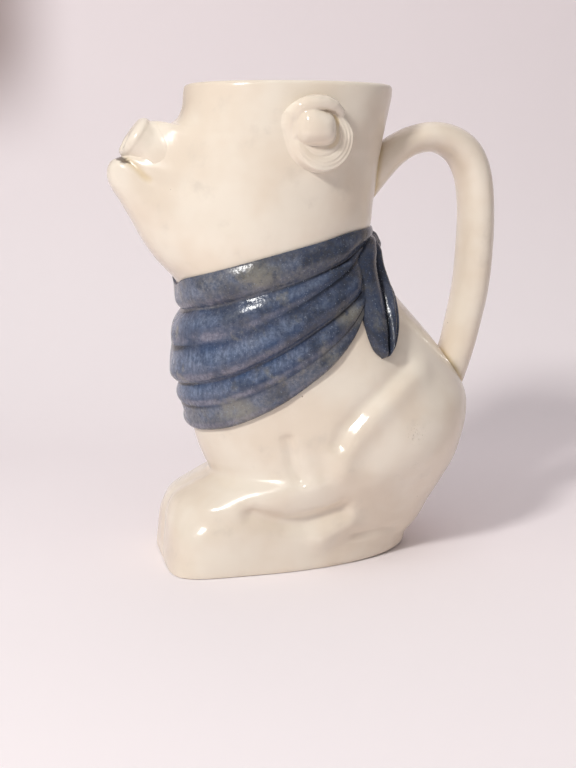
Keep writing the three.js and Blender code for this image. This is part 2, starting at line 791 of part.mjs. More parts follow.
function assemble() {
  const body = bodySeat();
  const knotSeat = knotForm(seatGap);
  const scarfSeat = scarfForm(seatGap);
  const ear = earRight(body);
  const tail = tailRight([body, scarfSeat, knotSeat]);
  place("body_shell", bodyShell(), creamGlaze);
  place("snout_disc", snoutDisc(body), creamGlaze);
  place("ear_right", ear, creamGlaze);
  place("ear_left", mirrored(ear), creamGlaze);
  place("handle", handle(body), creamGlaze);
  place("scarf_band", scarfForm().subtract(body), blueGlaze);
  place("scarf_knot", knotForm().subtract(body).subtract(scarfSeat), blueGlaze);
  place("scarf_tail_right", tail, blueGlaze);
  place("scarf_tail_left", mirrored(tail), blueGlaze);
}

// The jug's own frame stands in the middle of its outline on the table.
function centreOnTable() {
  const outline = new THREE.Box3().setFromObject(pig);
  pig.position.x = -(outline.min.x + outline.max.x) / 2;
}

assemble();
centreOnTable();

export default pig;
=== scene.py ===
"""A glazed earthenware jug in the shape of a seated pig with a knotted neckerchief.

The pig looks towards -X and stands on Z = 0. Its outline is laid out in millimetres in the
potter's own frame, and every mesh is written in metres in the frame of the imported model.
"""

import math
from functools import partial

import bpy
import numpy as np
from bpy.props import (
    FloatProperty,
    FloatVectorProperty,
    IntProperty,
    PointerProperty,
)
from bpy.types import Operator, Panel, PropertyGroup
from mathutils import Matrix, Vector
from mathutils.bvhtree import BVHTree


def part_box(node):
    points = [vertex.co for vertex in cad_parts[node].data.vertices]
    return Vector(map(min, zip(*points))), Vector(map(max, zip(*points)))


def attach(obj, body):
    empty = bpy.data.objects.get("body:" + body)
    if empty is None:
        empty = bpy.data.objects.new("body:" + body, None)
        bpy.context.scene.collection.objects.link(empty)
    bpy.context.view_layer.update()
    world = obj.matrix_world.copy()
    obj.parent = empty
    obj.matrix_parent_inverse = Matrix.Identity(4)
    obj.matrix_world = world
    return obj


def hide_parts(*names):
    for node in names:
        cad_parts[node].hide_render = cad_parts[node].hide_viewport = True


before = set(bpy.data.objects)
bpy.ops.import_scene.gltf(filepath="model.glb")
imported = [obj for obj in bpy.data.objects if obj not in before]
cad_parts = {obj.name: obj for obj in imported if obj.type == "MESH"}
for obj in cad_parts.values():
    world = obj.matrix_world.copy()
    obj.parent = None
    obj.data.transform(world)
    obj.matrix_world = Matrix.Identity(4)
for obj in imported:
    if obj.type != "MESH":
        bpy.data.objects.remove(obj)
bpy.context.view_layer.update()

bl_info = {
    "name": "Pig Jug",
    "version": (1, 0, 0),
    "blender": (4, 5, 0),
    "location": "View3D > Sidebar > Pig Jug",
    "description": "Builds a glazed earthenware jug in the shape of a seated pig",
    "category": "Add Mesh",
}

# The outline of the body, in millimetres and in shares of its driving sizes

JUG_HEIGHT = 240.0
PAW_REACH = 71.0
HEEL_REACH = 65.0
FOOT_WIDTH = 79.6
CHEST_REACH = 54.0
HAUNCH_REACH = 95.5
HAUNCH_WIDTH = 101.0
HEAD_REACH = 57.8
NAPE_REACH = 52.0
HEAD_WIDTH = 88.0
SNOUT_REACH = 90.6
SNOUT_WIDTH = 33.0
FRONT_CROWDING = 0.45

# The potter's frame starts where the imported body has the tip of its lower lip.
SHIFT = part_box("body_shell")[0][0] * 1000.0 + SNOUT_REACH

# Rings of the foot: front reach and height, back reach and height, half width, place of the
# widest point, and how boxy the front and the back of the oval are.
FOOT_SHARES = [
    [0.955, 0, 0.938, 0, 1, 0.36, 5.6, 2],
    [0.955, 0.0092, 0.977, 0.0083, 1.01, 0.36, 5.4, 2.05],
    [0.95, 0.033, 1, 0.029, 1.01, 0.37, 4.8, 2.1],
    [0.945, 0.075, 1.103, 0.0625, 1.012, 0.4, 4, 2.15],
    [0.935, 0.108, 1.185, 0.104, 1.04, 0.44, 2.8, 2.15],
]
TRUNK_SHARES = [
    [1.16, 0.142, 0.88, 0.154, 0.881, 0.48, 2.4, 2.15],
    [0.96, 0.169, 0.948, 0.208, 0.95, 0.53, 2.3, 2.1],
    [0.785, 0.192, 0.977, 0.258, 0.99, 0.58, 2.15, 2.1],
    [0.825, 0.219, 1, 0.304, 1, 0.6, 2.1, 2.1],
    [0.88, 0.25, 0.998, 0.346, 0.99, 0.6, 2.1, 2.1],
    [0.92, 0.283, 0.958, 0.385, 0.97, 0.59, 2.1, 2.05],
    [0.955, 0.333, 0.864, 0.4375, 0.93, 0.57, 2.1, 2],
    [0.981, 0.4, 0.73, 0.5, 0.881, 0.55, 2.1, 2],
    [1, 0.475, 0.591, 0.5625, 0.842, 0.53, 2.1, 2],
    [0.972, 0.55, 0.471, 0.623, 0.822, 0.52, 2.1, 2],
]
HEAD_SHARES = [
    [0.969, 0.6, 0.798, 0.667, 0.955, 0.51, 2.15, 2.05],
    [0.986, 0.633, 0.794, 0.69, 0.973, 0.51, 2.15, 2.05],
    [0.995, 0.667, 0.804, 0.7125, 0.989, 0.51, 2.15, 2.05],
    [1, 0.7, 0.815, 0.733, 0.998, 0.51, 2.15, 2.1],
    [1, 0.733, 0.823, 0.756, 1, 0.51, 2.15, 2.1],
    [0.997, 0.767, 0.842, 0.781, 1, 0.51, 2.15, 2.1],
    [0.991, 0.7875, 0.854, 0.796, 0.998, 0.51, 2.15, 2.1],
    [0.984, 0.808, 0.863, 0.8125, 0.993, 0.51, 2.15, 2.1],
    [0.978, 0.829, 0.873, 0.83, 0.989, 0.51, 2.15, 2.1],
    [0.967, 0.854, 0.887, 0.852, 0.982, 0.51, 2.15, 2.1],
    [0.958, 0.873, 0.9, 0.869, 0.977, 0.51, 2.15, 2.15],
    [0.952, 0.885, 0.91, 0.881, 0.975, 0.51, 2.15, 2.15],
    [0.945, 0.898, 0.919, 0.894, 0.973, 0.51, 2.15, 2.15],
    [0.936, 0.9125, 0.933, 0.91, 0.968, 0.51, 2.2, 2.2],
    [0.927, 0.931, 0.95, 0.929, 0.966, 0.51, 2.2, 2.2],
    [0.917, 0.954, 0.975, 0.954, 0.961, 0.51, 2.2, 2.2],
    [0.903, 0.979, 0.996, 0.979, 0.957, 0.51, 2.2, 2.2],
    [0.895, 0.991, 1, 0.991, 0.955, 0.51, 2.2, 2.2],
]
# The snout on the head's rings: reach and height of its tip, half width, hollow inside.
SNOUT_SHARES = [
    [0.638, 0.601, 1.3, 1],
    [0.744, 0.645, 1.3, 1],
    [0.823, 0.686, 1.25, 1],
    [0.882, 0.7275, 1.2, 1],
    [0.941, 0.768, 1.12, 1],
    [0.994, 0.804, 1, 1],
    [1, 0.828, 0.95, 1],
    [0.975, 0.847, 0.97, 1],
    [0.907, 0.86, 1, 1],
    [0.845, 0.889, 1, 0.95],
    [0.785, 0.918, 1, 0.6],
    [0.757, 0.926, 1, 0.3],
    [0.717, 0.9262, 1, 0.1],
    [0.666, 0.9215, 1, 0],
    [0.618, 0.931, 1, 0],
    [0.585, 0.954, 1, 0],
    [0.576, 0.979, 1, 0],
    [0.571, 0.991, 1, 0],
]

# Modelling on the flanks, as paths seen from the side: the points, how wide it spreads, how far
# it stands proud, and how far it fades towards its last point.
FLANK_RELIEFS = {
    "thigh": ([(59.4, 99.6), (48.5, 94.3), (39.6, 87.1), (30, 78.5), (21.5, 68.9), (16.6, 61.7),
               (15.8, 54)], 6.5, 2.6, 0.0),
    "fold above the thigh": ([(49, 102.5), (36.1, 92.4), (25.2, 83.5), (17.5, 74.9),
                              (13.6, 67.2)], 4.2, -2.4, 0.0),
    "hollow over the foot": ([(-28, 31.5), (-20, 28.3), (-11, 25.6), (-2, 25.4), (8, 27.6),
                              (18, 31)], 4.8, -4.2, 0.0),
    "hind trotter": ([(7.9, 17.5), (14.9, 22.1), (21.3, 25.2)], 6.5, 2.8, 0.0),
    "crease behind the trotter": ([(26.7, 15.8), (39.6, 16.3), (52.5, 14.9)], 3.2, -1.4, 0.0),
    "elbow": ([(-10.4, 68.4), (-8.4, 56.4), (-5.1, 49.4)], 3.1, -2.1, 0.0),
    "forearm": ([(-3, 66), (-0.5, 56), (4, 47)], 5.0, 0.9, 0.0),
    "fore trotter": ([(-61.4, 24), (-49.5, 30)], 10.0, 1.6, 0.0),
    "corner of the mouth": ([(-85.6, 206.4), (-81.5, 203.4), (-78.5, 200.8), (-75.3, 196.7),
                             (-71.7, 194.4)], 1.7, -1.9, 0.8),
    "lower lip": ([(-84.5, 200.5), (-80, 196.5), (-75, 192)], 3.4, 0.9, 0.6),
    "groove behind the disc": ([(-66.5, 221), (-71, 214), (-76, 207.5)], 3.0, -0.9, 0.0),
    "outer toe line": ([(-69, 18), (-63, 27)], 0.9, -0.5, 0.5),
    "inner toe line": ([(-66, 15), (-60, 25)], 0.9, -0.5, 0.5),
}
CLEFT_SPREAD = 4.5
CLEFT_DEPTH = 1.2
CLEFT_TOP = 48.0
# Soft lumps that the hand left in the clay: centre, spread and height.
LUMPS = [
    ((94, 0, 51.5), 8.0, 0.8),
    ((82, 0, 28.6), 7.0, 0.8),
    ((-40, -34, 150), 14.0, 0.5),
    ((20, -40, 175), 18.0, -0.5),
    ((-40, 34, 150), 14.0, 0.5),
    ((20, 40, 175), 18.0, -0.5),
    ((-38, -36.5, 178), 9.0, -0.5),
    ((-38, 36.5, 178), 9.0, -0.5),
]
# Slow waves that keep the glaze from lying dead flat: wave length, height and seed.
HAND_WAVES = [(62.0, 0.28, 3), (27.0, 0.10, 8), (12.0, 0.025, 5)]
# The waves die out over these heights, towards the rim and towards the foot.
CALM_RIM, CALM_FOOT = 12.0, 6.0
SWELL_COUNT = 7
SWELL_SPREAD = (0.75, 1.4)

SEEK_STEPS = 30
PROBE = 1e-3


def paint(hex_colour):
    """A scene colour with alpha from an sRGB hex value."""
    digits = hex_colour.lstrip("#")
    shares = [int(digits[i:i + 2], 16) / 255.0 for i in (0, 2, 4)]
    linear = [s / 12.92 if s <= 0.04045 else ((s + 0.055) / 1.055) ** 2.4 for s in shares]
    return (*linear, 1.0)


# The skin of the body


def ring_sizes(row, front, back, half, snout):
    """One ring in real sizes."""
    fx, fz, bx, bz, width, widest, front_full, back_full = row
    tip_x, tip_z, tip_width, hollow = snout
    return [
        -fx * front, fz * JUG_HEIGHT, bx * back, bz * JUG_HEIGHT, width * half,
        widest, front_full, back_full,
        tip_x * SNOUT_REACH - fx * front, (tip_z - fz) * JUG_HEIGHT,
        tip_width * SNOUT_WIDTH / 2, hollow,
    ]


def body_rings(lip):
    """All rings from the ground to the brim."""
    def plain(row, front):
        """A snout of no reach, for rings below the head."""
        return [row[0] * front / SNOUT_REACH, row[1], SNOUT_SHARES[0][2], 0]

    rings = [ring_sizes(r, PAW_REACH, HEEL_REACH, FOOT_WIDTH / 2, plain(r, PAW_REACH))
             for r in FOOT_SHARES]
    rings += [ring_sizes(r, CHEST_REACH, HAUNCH_REACH, HAUNCH_WIDTH / 2, plain(r, CHEST_REACH))
              for r in TRUNK_SHARES]
    rings += [ring_sizes(r, HEAD_REACH, NAPE_REACH, HEAD_WIDTH / 2, s)
              for r, s in zip(HEAD_SHARES, SNOUT_SHARES)]
    brim = JUG_HEIGHT - lip / 2
    rings[-1][1] = brim
    rings[-1][3] = brim
    rings[-1][9] = 0
    return np.array(rings)


def slopes_of(times, values):
    """The slope at each row, between those on its two sides."""
    slope = np.diff(values, axis=0) / np.diff(times)[:, None]
    return np.vstack([slope[:1], (slope[:-1] + slope[1:]) / 2, slope[-1:]])


def between_rows(times, values, slopes, at):
    """Rows between the given ones, joined by a cubic."""
    i = np.clip(np.searchsorted(times, at, side="right") - 1, 0, len(times) - 2)
    gap = times[i + 1] - times[i]
    p = ((at - times[i]) / gap)[..., None]
    gap = gap[..., None]
    return ((2 * p**3 - 3 * p**2 + 1) * values[i] + (p**3 - 2 * p**2 + p) * gap * slopes[i]
            + (-2 * p**3 + 3 * p**2) * values[i + 1] + (p**3 - p**2) * gap * slopes[i + 1])


def smooth_rows(rows, at):
    """Values of table rows at places given by their first column."""
    rows = np.array(rows, float)
    times, values = rows[:, 0], rows[:, 1:]
    return between_rows(times, values, slopes_of(times, values), at)


def eased(share):
    """A share from 0 to 1 that starts and ends softly."""
    share = np.clip(share, 0, 1)
    return share * share * (3 - 2 * share)


def bell(x, centre, width):
    """A soft hump of height 1."""
    return np.exp(-((x - centre) / width)**2)


class Skin:
    """The smooth skin of the pig: v runs up the body, t once around it from the front."""

    def __init__(self, lip):
        self.rings = body_rings(lip)
        times = [0.0]
        for a, b in zip(self.rings[:-1], self.rings[1:]):
            front = math.hypot(b[0] - b[8] - a[0] + a[8], b[1] + b[9] - a[1] - a[9])
            times.append(times[-1] + (front + math.hypot(b[2] - a[2], b[3] - a[3])) / 2)
        self.times = np.array(times)
        self.end = times[-1]
        self.slopes = slopes_of(self.times, self.rings)

    def ring(self, v):
        """Sizes of the ring at a level."""
        return between_rows(self.times, self.rings, self.slopes, np.clip(v, 0.0, self.end))

    def at(self, v, t, inset=0.0):
        """Points of the plain skin, moved inwards by the inset."""
        v, t = np.broadcast_arrays(np.asarray(v, float), np.asarray(t, float))
        fx, fz, bx, bz, half, widest, nf, nb, reach, rise, tip, hollow = np.moveaxis(
            self.ring(v), -1, 0)
        cx, cz = fx + (bx - fx) * widest, fz + (bz - fz) * widest
        ex, ez = fx - bx, fz - bz
        length = np.hypot(ex, ez)
        ex, ez = ex / length, ez / length
        turn = 2 * np.pi * t - FRONT_CROWDING * np.sin(2 * np.pi * t)
        c, s = np.cos(turn), np.sin(turn)
        a = length * np.where(c > 0, widest, 1 - widest) - inset
        b = half - inset
        n = np.where(c > 0, nf, nb)
        r = ((np.abs(c) / a) ** n + (np.abs(s) / b) ** n) ** (-1 / n)
        share = eased(c) / (1 + (r * s / (tip - inset)) ** 4)
        if inset > 0:
            share = share * hollow
        return np.stack([cx + ex * r * c - reach * share, r * s,
                         cz + ez * r * c + rise * share], -1)

    def normal(self, v, t):
        """Outward directions of the plain skin."""
        dv, dt = self.end * PROBE, PROBE
        up = self.at(np.minimum(v + dv, self.end), t) - self.at(np.maximum(v - dv, 0), t)
        around = self.at(v, t + dt) - self.at(v, t - dt)
        normal = np.cross(up, around)
        return normal / np.linalg.norm(normal, axis=-1, keepdims=True)

    def outer(self, v, t, lift=0.0, fine=1.0):
        """Points of the modelled skin, lifted off it."""
        v, t = np.broadcast_arrays(np.asarray(v, float), np.asarray(t, float))
        point, normal = self.at(v, t), self.normal(v, t)
        rise = modelling(point, normal, fine) + lift
        return point + normal * rise[..., None]

    def height_to_v(self, t, z):
        """The place along the skin where it passes a height."""
        low = np.zeros(np.broadcast(t, z).shape)
        high = low + self.end
        for _ in range(SEEK_STEPS):
            v = (low + high) / 2
            under = self.at(v, t)[..., 2] < z
            low, high = np.where(under, v, low), np.where(under, high, v)
        return (low + high) / 2


def path_reach(x, z, path):
    """Distance to a path of straight pieces, and the share of the path where it is nearest."""
    nearest = np.full(np.shape(x), np.inf)
    share = np.zeros(np.shape(x))
    for i, ((ax, az), (bx, bz)) in enumerate(zip(path[:-1], path[1:])):
        along = ((x - ax) * (bx - ax) + (z - az) * (bz - az)) / ((bx - ax)**2 + (bz - az)**2)
        k = np.clip(along, 0, 1)
        reach = np.hypot(ax + (bx - ax) * k - x, az + (bz - az) * k - z)
        share = np.where(reach < nearest, (i + k) / (len(path) - 1), share)
        nearest = np.minimum(nearest, reach)
    return nearest, share


def waves(points, length, seed):
    """A soft random swell between about -1 and 1, made of a few crossing plane waves."""
    rng = np.random.default_rng(seed)
    total = np.zeros(points.shape[:-1])
    for _ in range(SWELL_COUNT):
        way = rng.normal(size=3)
        way /= np.linalg.norm(way)
        total += np.sin(points @ way * 2 * np.pi / (length * rng.uniform(*SWELL_SPREAD))
                        + rng.uniform(0, 2 * np.pi))
    return total / SWELL_COUNT**0.5


def modelling(point, normal, fine=1.0):
    """How far the modelled skin stands proud of the plain one."""
    x, y, z = np.moveaxis(point, -1, 0)
    rise = np.zeros(x.shape)
    for path, spread, height, fade in FLANK_RELIEFS.values():
        reach, share = path_reach(x, z, path)
        rise += height * np.abs(normal[..., 1]) * np.exp(-(reach / spread)**2) * (1 - fade * share)
    level = np.clip(z / CLEFT_TOP, 0, 1)
    cleft = CLEFT_DEPTH * normal[..., 0] * np.exp(-(y / CLEFT_SPREAD)**2)
    rise += np.where(normal[..., 0] < 0, cleft * np.sqrt(np.sin(np.pi * level)), 0.0)
    for centre, spread, height in LUMPS:
        rise += height * np.exp(-np.sum((point - np.array(centre))**2, -1) / spread**2)
    calm = np.clip((JUG_HEIGHT - z) / CALM_RIM, 0, 1) * np.clip(z / CALM_FOOT, 0, 1) * fine
    for length, height, seed in HAND_WAVES:
        rise += height * calm * waves(point, length, seed)
    return rise


# Meshes

# Points each way in a sheet of skin that is searched, and what fills the space inside the wall.
SKIN_GRID = 120
TRIM_INSET = 2.5
CORE_START, CORE_RINGS, CORE_SIDES, CORE_OVER = 8, 90, 96, 20


def to_frame(points):
    """Potter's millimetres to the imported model's metres."""
    return (np.asarray(points, float) + np.array([SHIFT, 0, 0])) / 1000.0


def to_potter(mesh):
    """The vertices of a mesh in the potter's millimetres."""
    flat = np.empty(len(mesh.vertices) * 3)
    mesh.vertices.foreach_get("co", flat)
    return flat.reshape(-1, 3) * 1000.0 - np.array([SHIFT, 0, 0])


def new_piece(name, points, faces, material, smooth=True):
    """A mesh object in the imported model's frame from points in the potter's millimetres."""
    mesh = bpy.data.meshes.new(name)
    mesh.from_pydata(to_frame(points).tolist(), [], faces)
    mesh.validate()
    if smooth:
        mesh.shade_smooth()
    mesh.materials.append(material)
    piece = bpy.data.objects.new(name, mesh)
    bpy.context.scene.collection.objects.link(piece)
    return piece


def weave(rings, first=None, last=None, wrapped=False):
    """Points and faces of rings of equal count. Poles close the ends, or the rings wrap."""
    count, around = rings.shape[:2]
    points = list(rings.reshape(-1, 3))
    j = np.arange(around)
    k = (j + 1) % around
    faces = []
    for i in range(count if wrapped else count - 1):
        low, high = i * around, ((i + 1) % count) * around
        faces += np.stack([low + j, high + j, high + k, low + k], 1).tolist()
    if first is not None:
        points.append(first)
        pole = len(points) - 1
        faces += [[pole, a, b] for a, b in zip(j.tolist(), k.tolist())]
    if last is not None:
        points.append(last)
        pole = len(points) - 1
        low = (count - 1) * around
        faces += [[low + a, pole, low + b] for a, b in zip(j.tolist(), k.tolist())]
    return np.array(points), faces


def mark(piece, **numbers):
    """Numbers for the points of a piece, which its glaze reads. A single one is for all."""
    for name, values in numbers.items():
        held = piece.data.attributes.get(name)
        if held is None:
            held = piece.data.attributes.new(name, "FLOAT", "POINT")
        every = np.broadcast_to(values, len(piece.data.vertices))
        held.data.foreach_set("value", every.astype(np.float32))


def mirrored_points(points, faces):
    """The same mesh on the other side of the pig, faces still outwards."""
    return points * np.array([1, -1, 1]), [face[::-1] for face in faces]


def finished(piece, node):
    """Rides a piece on the root body and hides the imported part that it takes the place of."""
    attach(piece, "root")
    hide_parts(node)


def bake(piece):
    """Makes the modifiers of a piece part of its mesh."""
    graph = bpy.context.evaluated_depsgraph_get()
    mesh = bpy.data.meshes.new_from_object(piece.evaluated_get(graph), depsgraph=graph)
    old = piece.data
    piece.modifiers.clear()
    piece.data = mesh
    mesh.name = piece.name
    bpy.data.meshes.remove(old)


def cut(piece, cutter):
    """Takes the cutter's form out of the piece."""
    step = piece.modifiers.new("Cut", "BOOLEAN")
    step.operation = "DIFFERENCE"
    step.solver = "EXACT"
    step.object = cutter
    bake(piece)
    bpy.data.objects.remove(cutter)


def skin_tree(skin, first_ring, side):
    """A search tree over the skin from one of its rings to the rim, on one side of the pig."""
    v, t = np.meshgrid(np.linspace(skin.times[first_ring], skin.end, SKIN_GRID),
                       np.linspace(*side, SKIN_GRID), indexing="ij")
    corner = np.add.outer(np.arange(SKIN_GRID - 1) * SKIN_GRID, np.arange(SKIN_GRID - 1))
    sheets = [(i, i + 1, i + SKIN_GRID + 1, i + SKIN_GRID) for i in corner.ravel().tolist()]
    return BVHTree.FromPolygons([Vector(p) for p in skin.outer(v, t).reshape(-1, 3)], sheets)


def trim(piece, skin):
    """Takes off a piece what reaches through the wall into the jug."""
    v = np.linspace(CORE_START, skin.end, CORE_RINGS)
    t = np.arange(CORE_SIDES) / CORE_SIDES
    rings = skin.at(v[:, None], t[None], TRIM_INSET)
    first, last = rings[0].mean(0), rings[-1].mean(0)
    last[2] = JUG_HEIGHT + CORE_OVER
    points, faces = weave(rings, first, last)
    cut(piece, new_piece("Trimming_core", points, faces, None))
    piece.data.shade_smooth()


# Glazes

SPAN, MATH, MIX = "ShaderNodeMapRange", "ShaderNodeMath", "ShaderNodeMix"
SOFT = {"interpolation_type": "SMOOTHSTEP"}
TIMES = {"operation": "MULTIPLY"}
GLASS_IOR = 1.52
BUMP_HEIGHT = 0.0009
BARE_ROUGHNESS = 0.75
# Cloudy patterns in the glazes: size of a cloud in millimetres, detail and roughness.
CREAM_PATTERNS = {
    "thin slip": (38, 3, 0.55),
    "smoke": (17, 4, 0.6),
    "pitted": (45, 1, 0.5),
    "swell": (9, 2, 0.5),
    "sheen": (22, 2, 0.5),
}
BLUE_PATTERNS = {
    "cloud": (17, 4, 0.6),
    "ash": (9, 3, 0.5),
    "olive": (13, 3, 0.6),
    "rubbed": (14, 3, 0.5),
    # Clouds in the painted shade towards the knot.
    "shade_clouds": (18, 4, 0.6),
    "mottle": (1.9, 5, 0.7),
    "burnt": (5, 4, 0.65),
    "fleck": (0.7, 1, 0.4),
    "grain": (1.1, 2, 0.5),
    "lump": (4.5, 3, 0.55),
    "sheen": (6, 2, 0.5),
}
PIT_SPACING, BUBBLE_SPACING = 16, 1.5
BRISTLE_SIZE, BRISTLE_LENGTHENING = 1.7, 0.22


def join(tree, kind, *values, out=None, **named):
    """Adds a node and returns one of its outputs, the first unless out names another.

    The values go to its inputs in order, names with a capital to the input of that name, and
    names without one to its settings. A socket is linked, and anything else is set.
    """
    node = tree.nodes.new(kind)
    for key, value in named.items():
        if key[0].islower():
            setattr(node, key, value)
    inputs = [socket for socket in node.inputs if socket.enabled]
    given = list(zip(inputs, values))
    for key, value in named.items():
        if key[0].isupper():
            name = key.replace("_", " ")
            given.append((next(socket for socket in inputs if socket.name == name), value))
    for socket, value in given:
        if isinstance(value, bpy.types.NodeSocket):
            tree.links.new(value, socket)
        else:
            socket.default_value = value
    outputs = [socket for socket in node.outputs if socket.enabled and out in (None, socket.name)]
    return outputs[0] if outputs else None


def per_mm(size):
    """The pattern scale at which one cell is about this many millimetres."""
    return 1000.0 / size


def new_material(name, patterns, marks):
    """An empty material, what adds nodes to it, its place, its patterns and its marks."""
    material = bpy.data.materials.new(name)
    material.use_nodes = True
    material.node_tree.nodes.clear()
    add = partial(join, material.node_tree)
    where = add("ShaderNodeTexCoord", out="Object")
    field = {key: add("ShaderNodeTexNoise", Vector=where, Scale=per_mm(size), Detail=detail,
                      Roughness=rough) for key, (size, detail, rough) in patterns.items()}
    held = {key: add("ShaderNodeAttribute", attribute_name=key, out="Fac") for key in marks}
    return material, add, where, field, held


def layered(add, colour, layers):
    """A colour under further ones: each one's share, how the share is stretched, and its tint."""
    for share, *span, tone in layers:
        if span:
            share = add(SPAN, share, *span, **SOFT)
        colour = add(MIX, share, colour, tone, data_type="RGBA")
    return colour


def glassy(add, colour, rough, strength, height):
    """Ends a glaze: a smooth glass skin over the colour, with a slight unevenness."""
    bump = add("ShaderNodeBump", Strength=strength, Distance=BUMP_HEIGHT, Height=height)
    shader = add("ShaderNodeBsdfPrincipled", Base_Color=colour, Roughness=rough, IOR=GLASS_IOR,
                 Normal=bump)
    add("ShaderNodeOutputMaterial", Surface=shader)


def cream_glaze(name):
    """Clear lead glaze over white slip on earthenware: warm cream, glassy, a little uneven,
    honey-coloured where it pools, with small brown pits where the kiln popped a bubble."""
    look = bpy.context.scene.jug_glaze
    material, add, where, field, held = new_material(
        name, CREAM_PATTERNS, ("pool", "blister", "bare", "dark"))
    pits = add("ShaderNodeTexVoronoi", Vector=where, Scale=per_mm(PIT_SPACING))
    pit = add(MATH, add(SPAN, pits, 0.018, 0.034, 1, 0, **SOFT),
              add(SPAN, field["pitted"], 0.52, 0.56, **SOFT), **TIMES)
    colour = layered(add, look.cream, [
        (field["thin slip"], 0.36, 0.66, look.cream_deep),
        (field["smoke"], 0.56, 0.8, 0, 0.45, look.cream_grey),
        (held["pool"], 0.1, 1, 0, 0.85, look.honey),
        (add(MATH, pit, 0.75, **TIMES), look.pit),
        (held["bare"], look.clay),
        # Painted shade in the mouth's slit and at the handle's root; on the nostrils, darker the
        # deeper the dent.
        (held["dark"], look.inside),
    ])
    bubbles = add("ShaderNodeTexVoronoi", Vector=where, Scale=per_mm(BUBBLE_SPACING))
    blister = add(MATH, add(SPAN, bubbles, 0.1, 0.45, -1, 0, **SOFT), held["blister"], **TIMES)
    height = add(MATH, add(MATH, field["swell"], 0.35, **TIMES), add(MATH, pit, -0.25, **TIMES))
    height = add(MATH, height, add(MATH, blister, 0.5, **TIMES))
    rough = add(SPAN, field["sheen"], 0.3, 0.7, look.cream_gloss * 0.75,
                look.cream_gloss * 1.35, **SOFT)
    rough = add(SPAN, held["bare"], 0, 1, rough, BARE_ROUGHNESS)
    glassy(add, colour, rough, 0.5, height)
    return material


def blue_glaze(name):
    """Cobalt stain brushed on under the clear glaze: mottled slate blue, rubbed to a pinkish grey
    along the folds, with olive clouds and pale specks. Painted shade darkens the tucks and the
    cloth towards the knot, and painted highlights lighten the fold crowns and the front."""
    look = bpy.context.scene.jug_glaze
    material, add, where, field, held = new_material(
        name, BLUE_PATTERNS, ("around", "fold", "crown", "wear", "tuck", "burnt"))
    brush = add("ShaderNodeMapping", Vector=where, Scale=(1, 1, BRISTLE_LENGTHENING))
    stroke = add("ShaderNodeTexNoise", Vector=brush, Scale=per_mm(BRISTLE_SIZE), Detail=4,
                 Roughness=0.65)
    ash = add(MATH, held["fold"], add(SPAN, field["ash"], 0.35, 0.6, 0.35, 0.95, **SOFT),
              **TIMES)
    wear = add(MATH, held["wear"], add(SPAN, field["rubbed"], 0.3, 0.55, **SOFT), **TIMES)
    # How deep the painted shade towards the knot lies, with clouds in it.
    nape_shade_share = add(MATH, held["around"], add(SPAN, field["shade_clouds"], 0.42, 0.62, 0, 0.45, **SOFT))
    burnt = add(MATH, held["burnt"], add(SPAN, field["burnt"], 0.3, 0.55, 0.35, 1, **SOFT),
                **TIMES)
    colour = layered(add, look.blue, [
        (field["cloud"], 0.38, 0.62, look.blue_grey),
        # Painted highlight along the crowns of the folds.
        (held["crown"], 0.2, 1, 0, 0.65, look.painted_light_blue),
        # Painted light: the front of the band is lighter.
        (held["around"], 0.06, 0.34, 0.5, 0, look.painted_light_blue),
        (stroke, 0.3, 0.7, 0, 0.6, look.blue_deep),
        # Painted shade off the crowns of the folds.
        (held["crown"], 0, 0.45, 0.5, 0, look.blue_deep),
        (ash, look.ash),
        (field["olive"], 0.56, 0.7, 0, 0.7, look.olive),
        (wear, 0.1, 0.9, 0, 0.7, look.worn),
        # Painted shade towards the knot.
        (nape_shade_share, 0.36, 1.12, 0, 0.9, look.nape_shade),
        (field["mottle"], 0.36, 0.62, 0.55, 0, look.blue_deep),
        (burnt, 0.1, 1, 0, 0.62, look.olive),
        # Painted shade in the tucks.
        (held["tuck"], 0.15, 0.95, 0, 0.9, look.tuck),
        (field["fleck"], 0.66, 0.76, 0, 0.4, look.fleck),
        (field["grain"], 0.24, 0.36, 0.5, 0, look.spot),
    ])
    height = add(MATH, field["lump"], add(MATH, field["grain"], 0.3, **TIMES))
    rough = add(SPAN, field["sheen"], 0.3, 0.7, look.blue_gloss * 0.7, look.blue_gloss * 1.4,
                **SOFT)
    glassy(add, colour, rough, 0.3, height)
    return material


def glaze(name, make):
    """The glaze of that name, made once."""
    return bpy.data.materials.get(name) or make(name)


def cream():
    """The glaze of the jug itself."""
    return glaze("Clear glaze on cream earthenware", cream_glaze)


def blue():
    """The glaze of the neckerchief."""
    return glaze("Brushed cobalt under clear glaze", blue_glaze)


# Settings


def length(name, about, size, low=0.0001, high=0.3):
    """A length that the user can change, in metres."""
    return FloatProperty(name=name, description=about, default=size, min=low, max=high,
                         subtype="DISTANCE", unit="LENGTH")


def tint(name, about, hex_colour):
    """A colour that the user can change."""
    return FloatVectorProperty(name=name, description=about, default=paint(hex_colour), size=4,
                               min=0.0, max=1.0, subtype="COLOR")


class JugPottingSettings(PropertyGroup):
    """Sizes of the potted body and of what sits on it."""

    wall: length("Wall", "Thickness of the potted wall", 0.005)
    lip: length("Lip", "Thickness of the rounded rim", 0.0042)
    floor: length("Floor", "Thickness of the floor", 0.007)
    foot_rim: length("Foot rim", "Width of the rim that rests on the table", 0.009)
    foot_recess: length("Foot recess", "Depth of the hollow under the foot", 0.0016)
    mouth_width: length("Mouth width", "Width of the pouring slit", 0.019)
    mouth_height: length("Mouth height", "Height of the pouring slit", 0.0019)
    grip_thickness: length("Handle thickness", "Greatest thickness of the handle", 0.0208)
    grip_width: length("Handle width", "Greatest width of the handle", 0.027)
    fold_crown: length("Fold crown", "How far the fullest fold of the kerchief stands proud",
                       0.0082)
    columns: IntProperty(name="Columns", description="Points around the body", default=224,
                         min=48, max=320)
    rows: IntProperty(name="Rows", description="Rings up the body", default=290, min=60,
                      max=400)


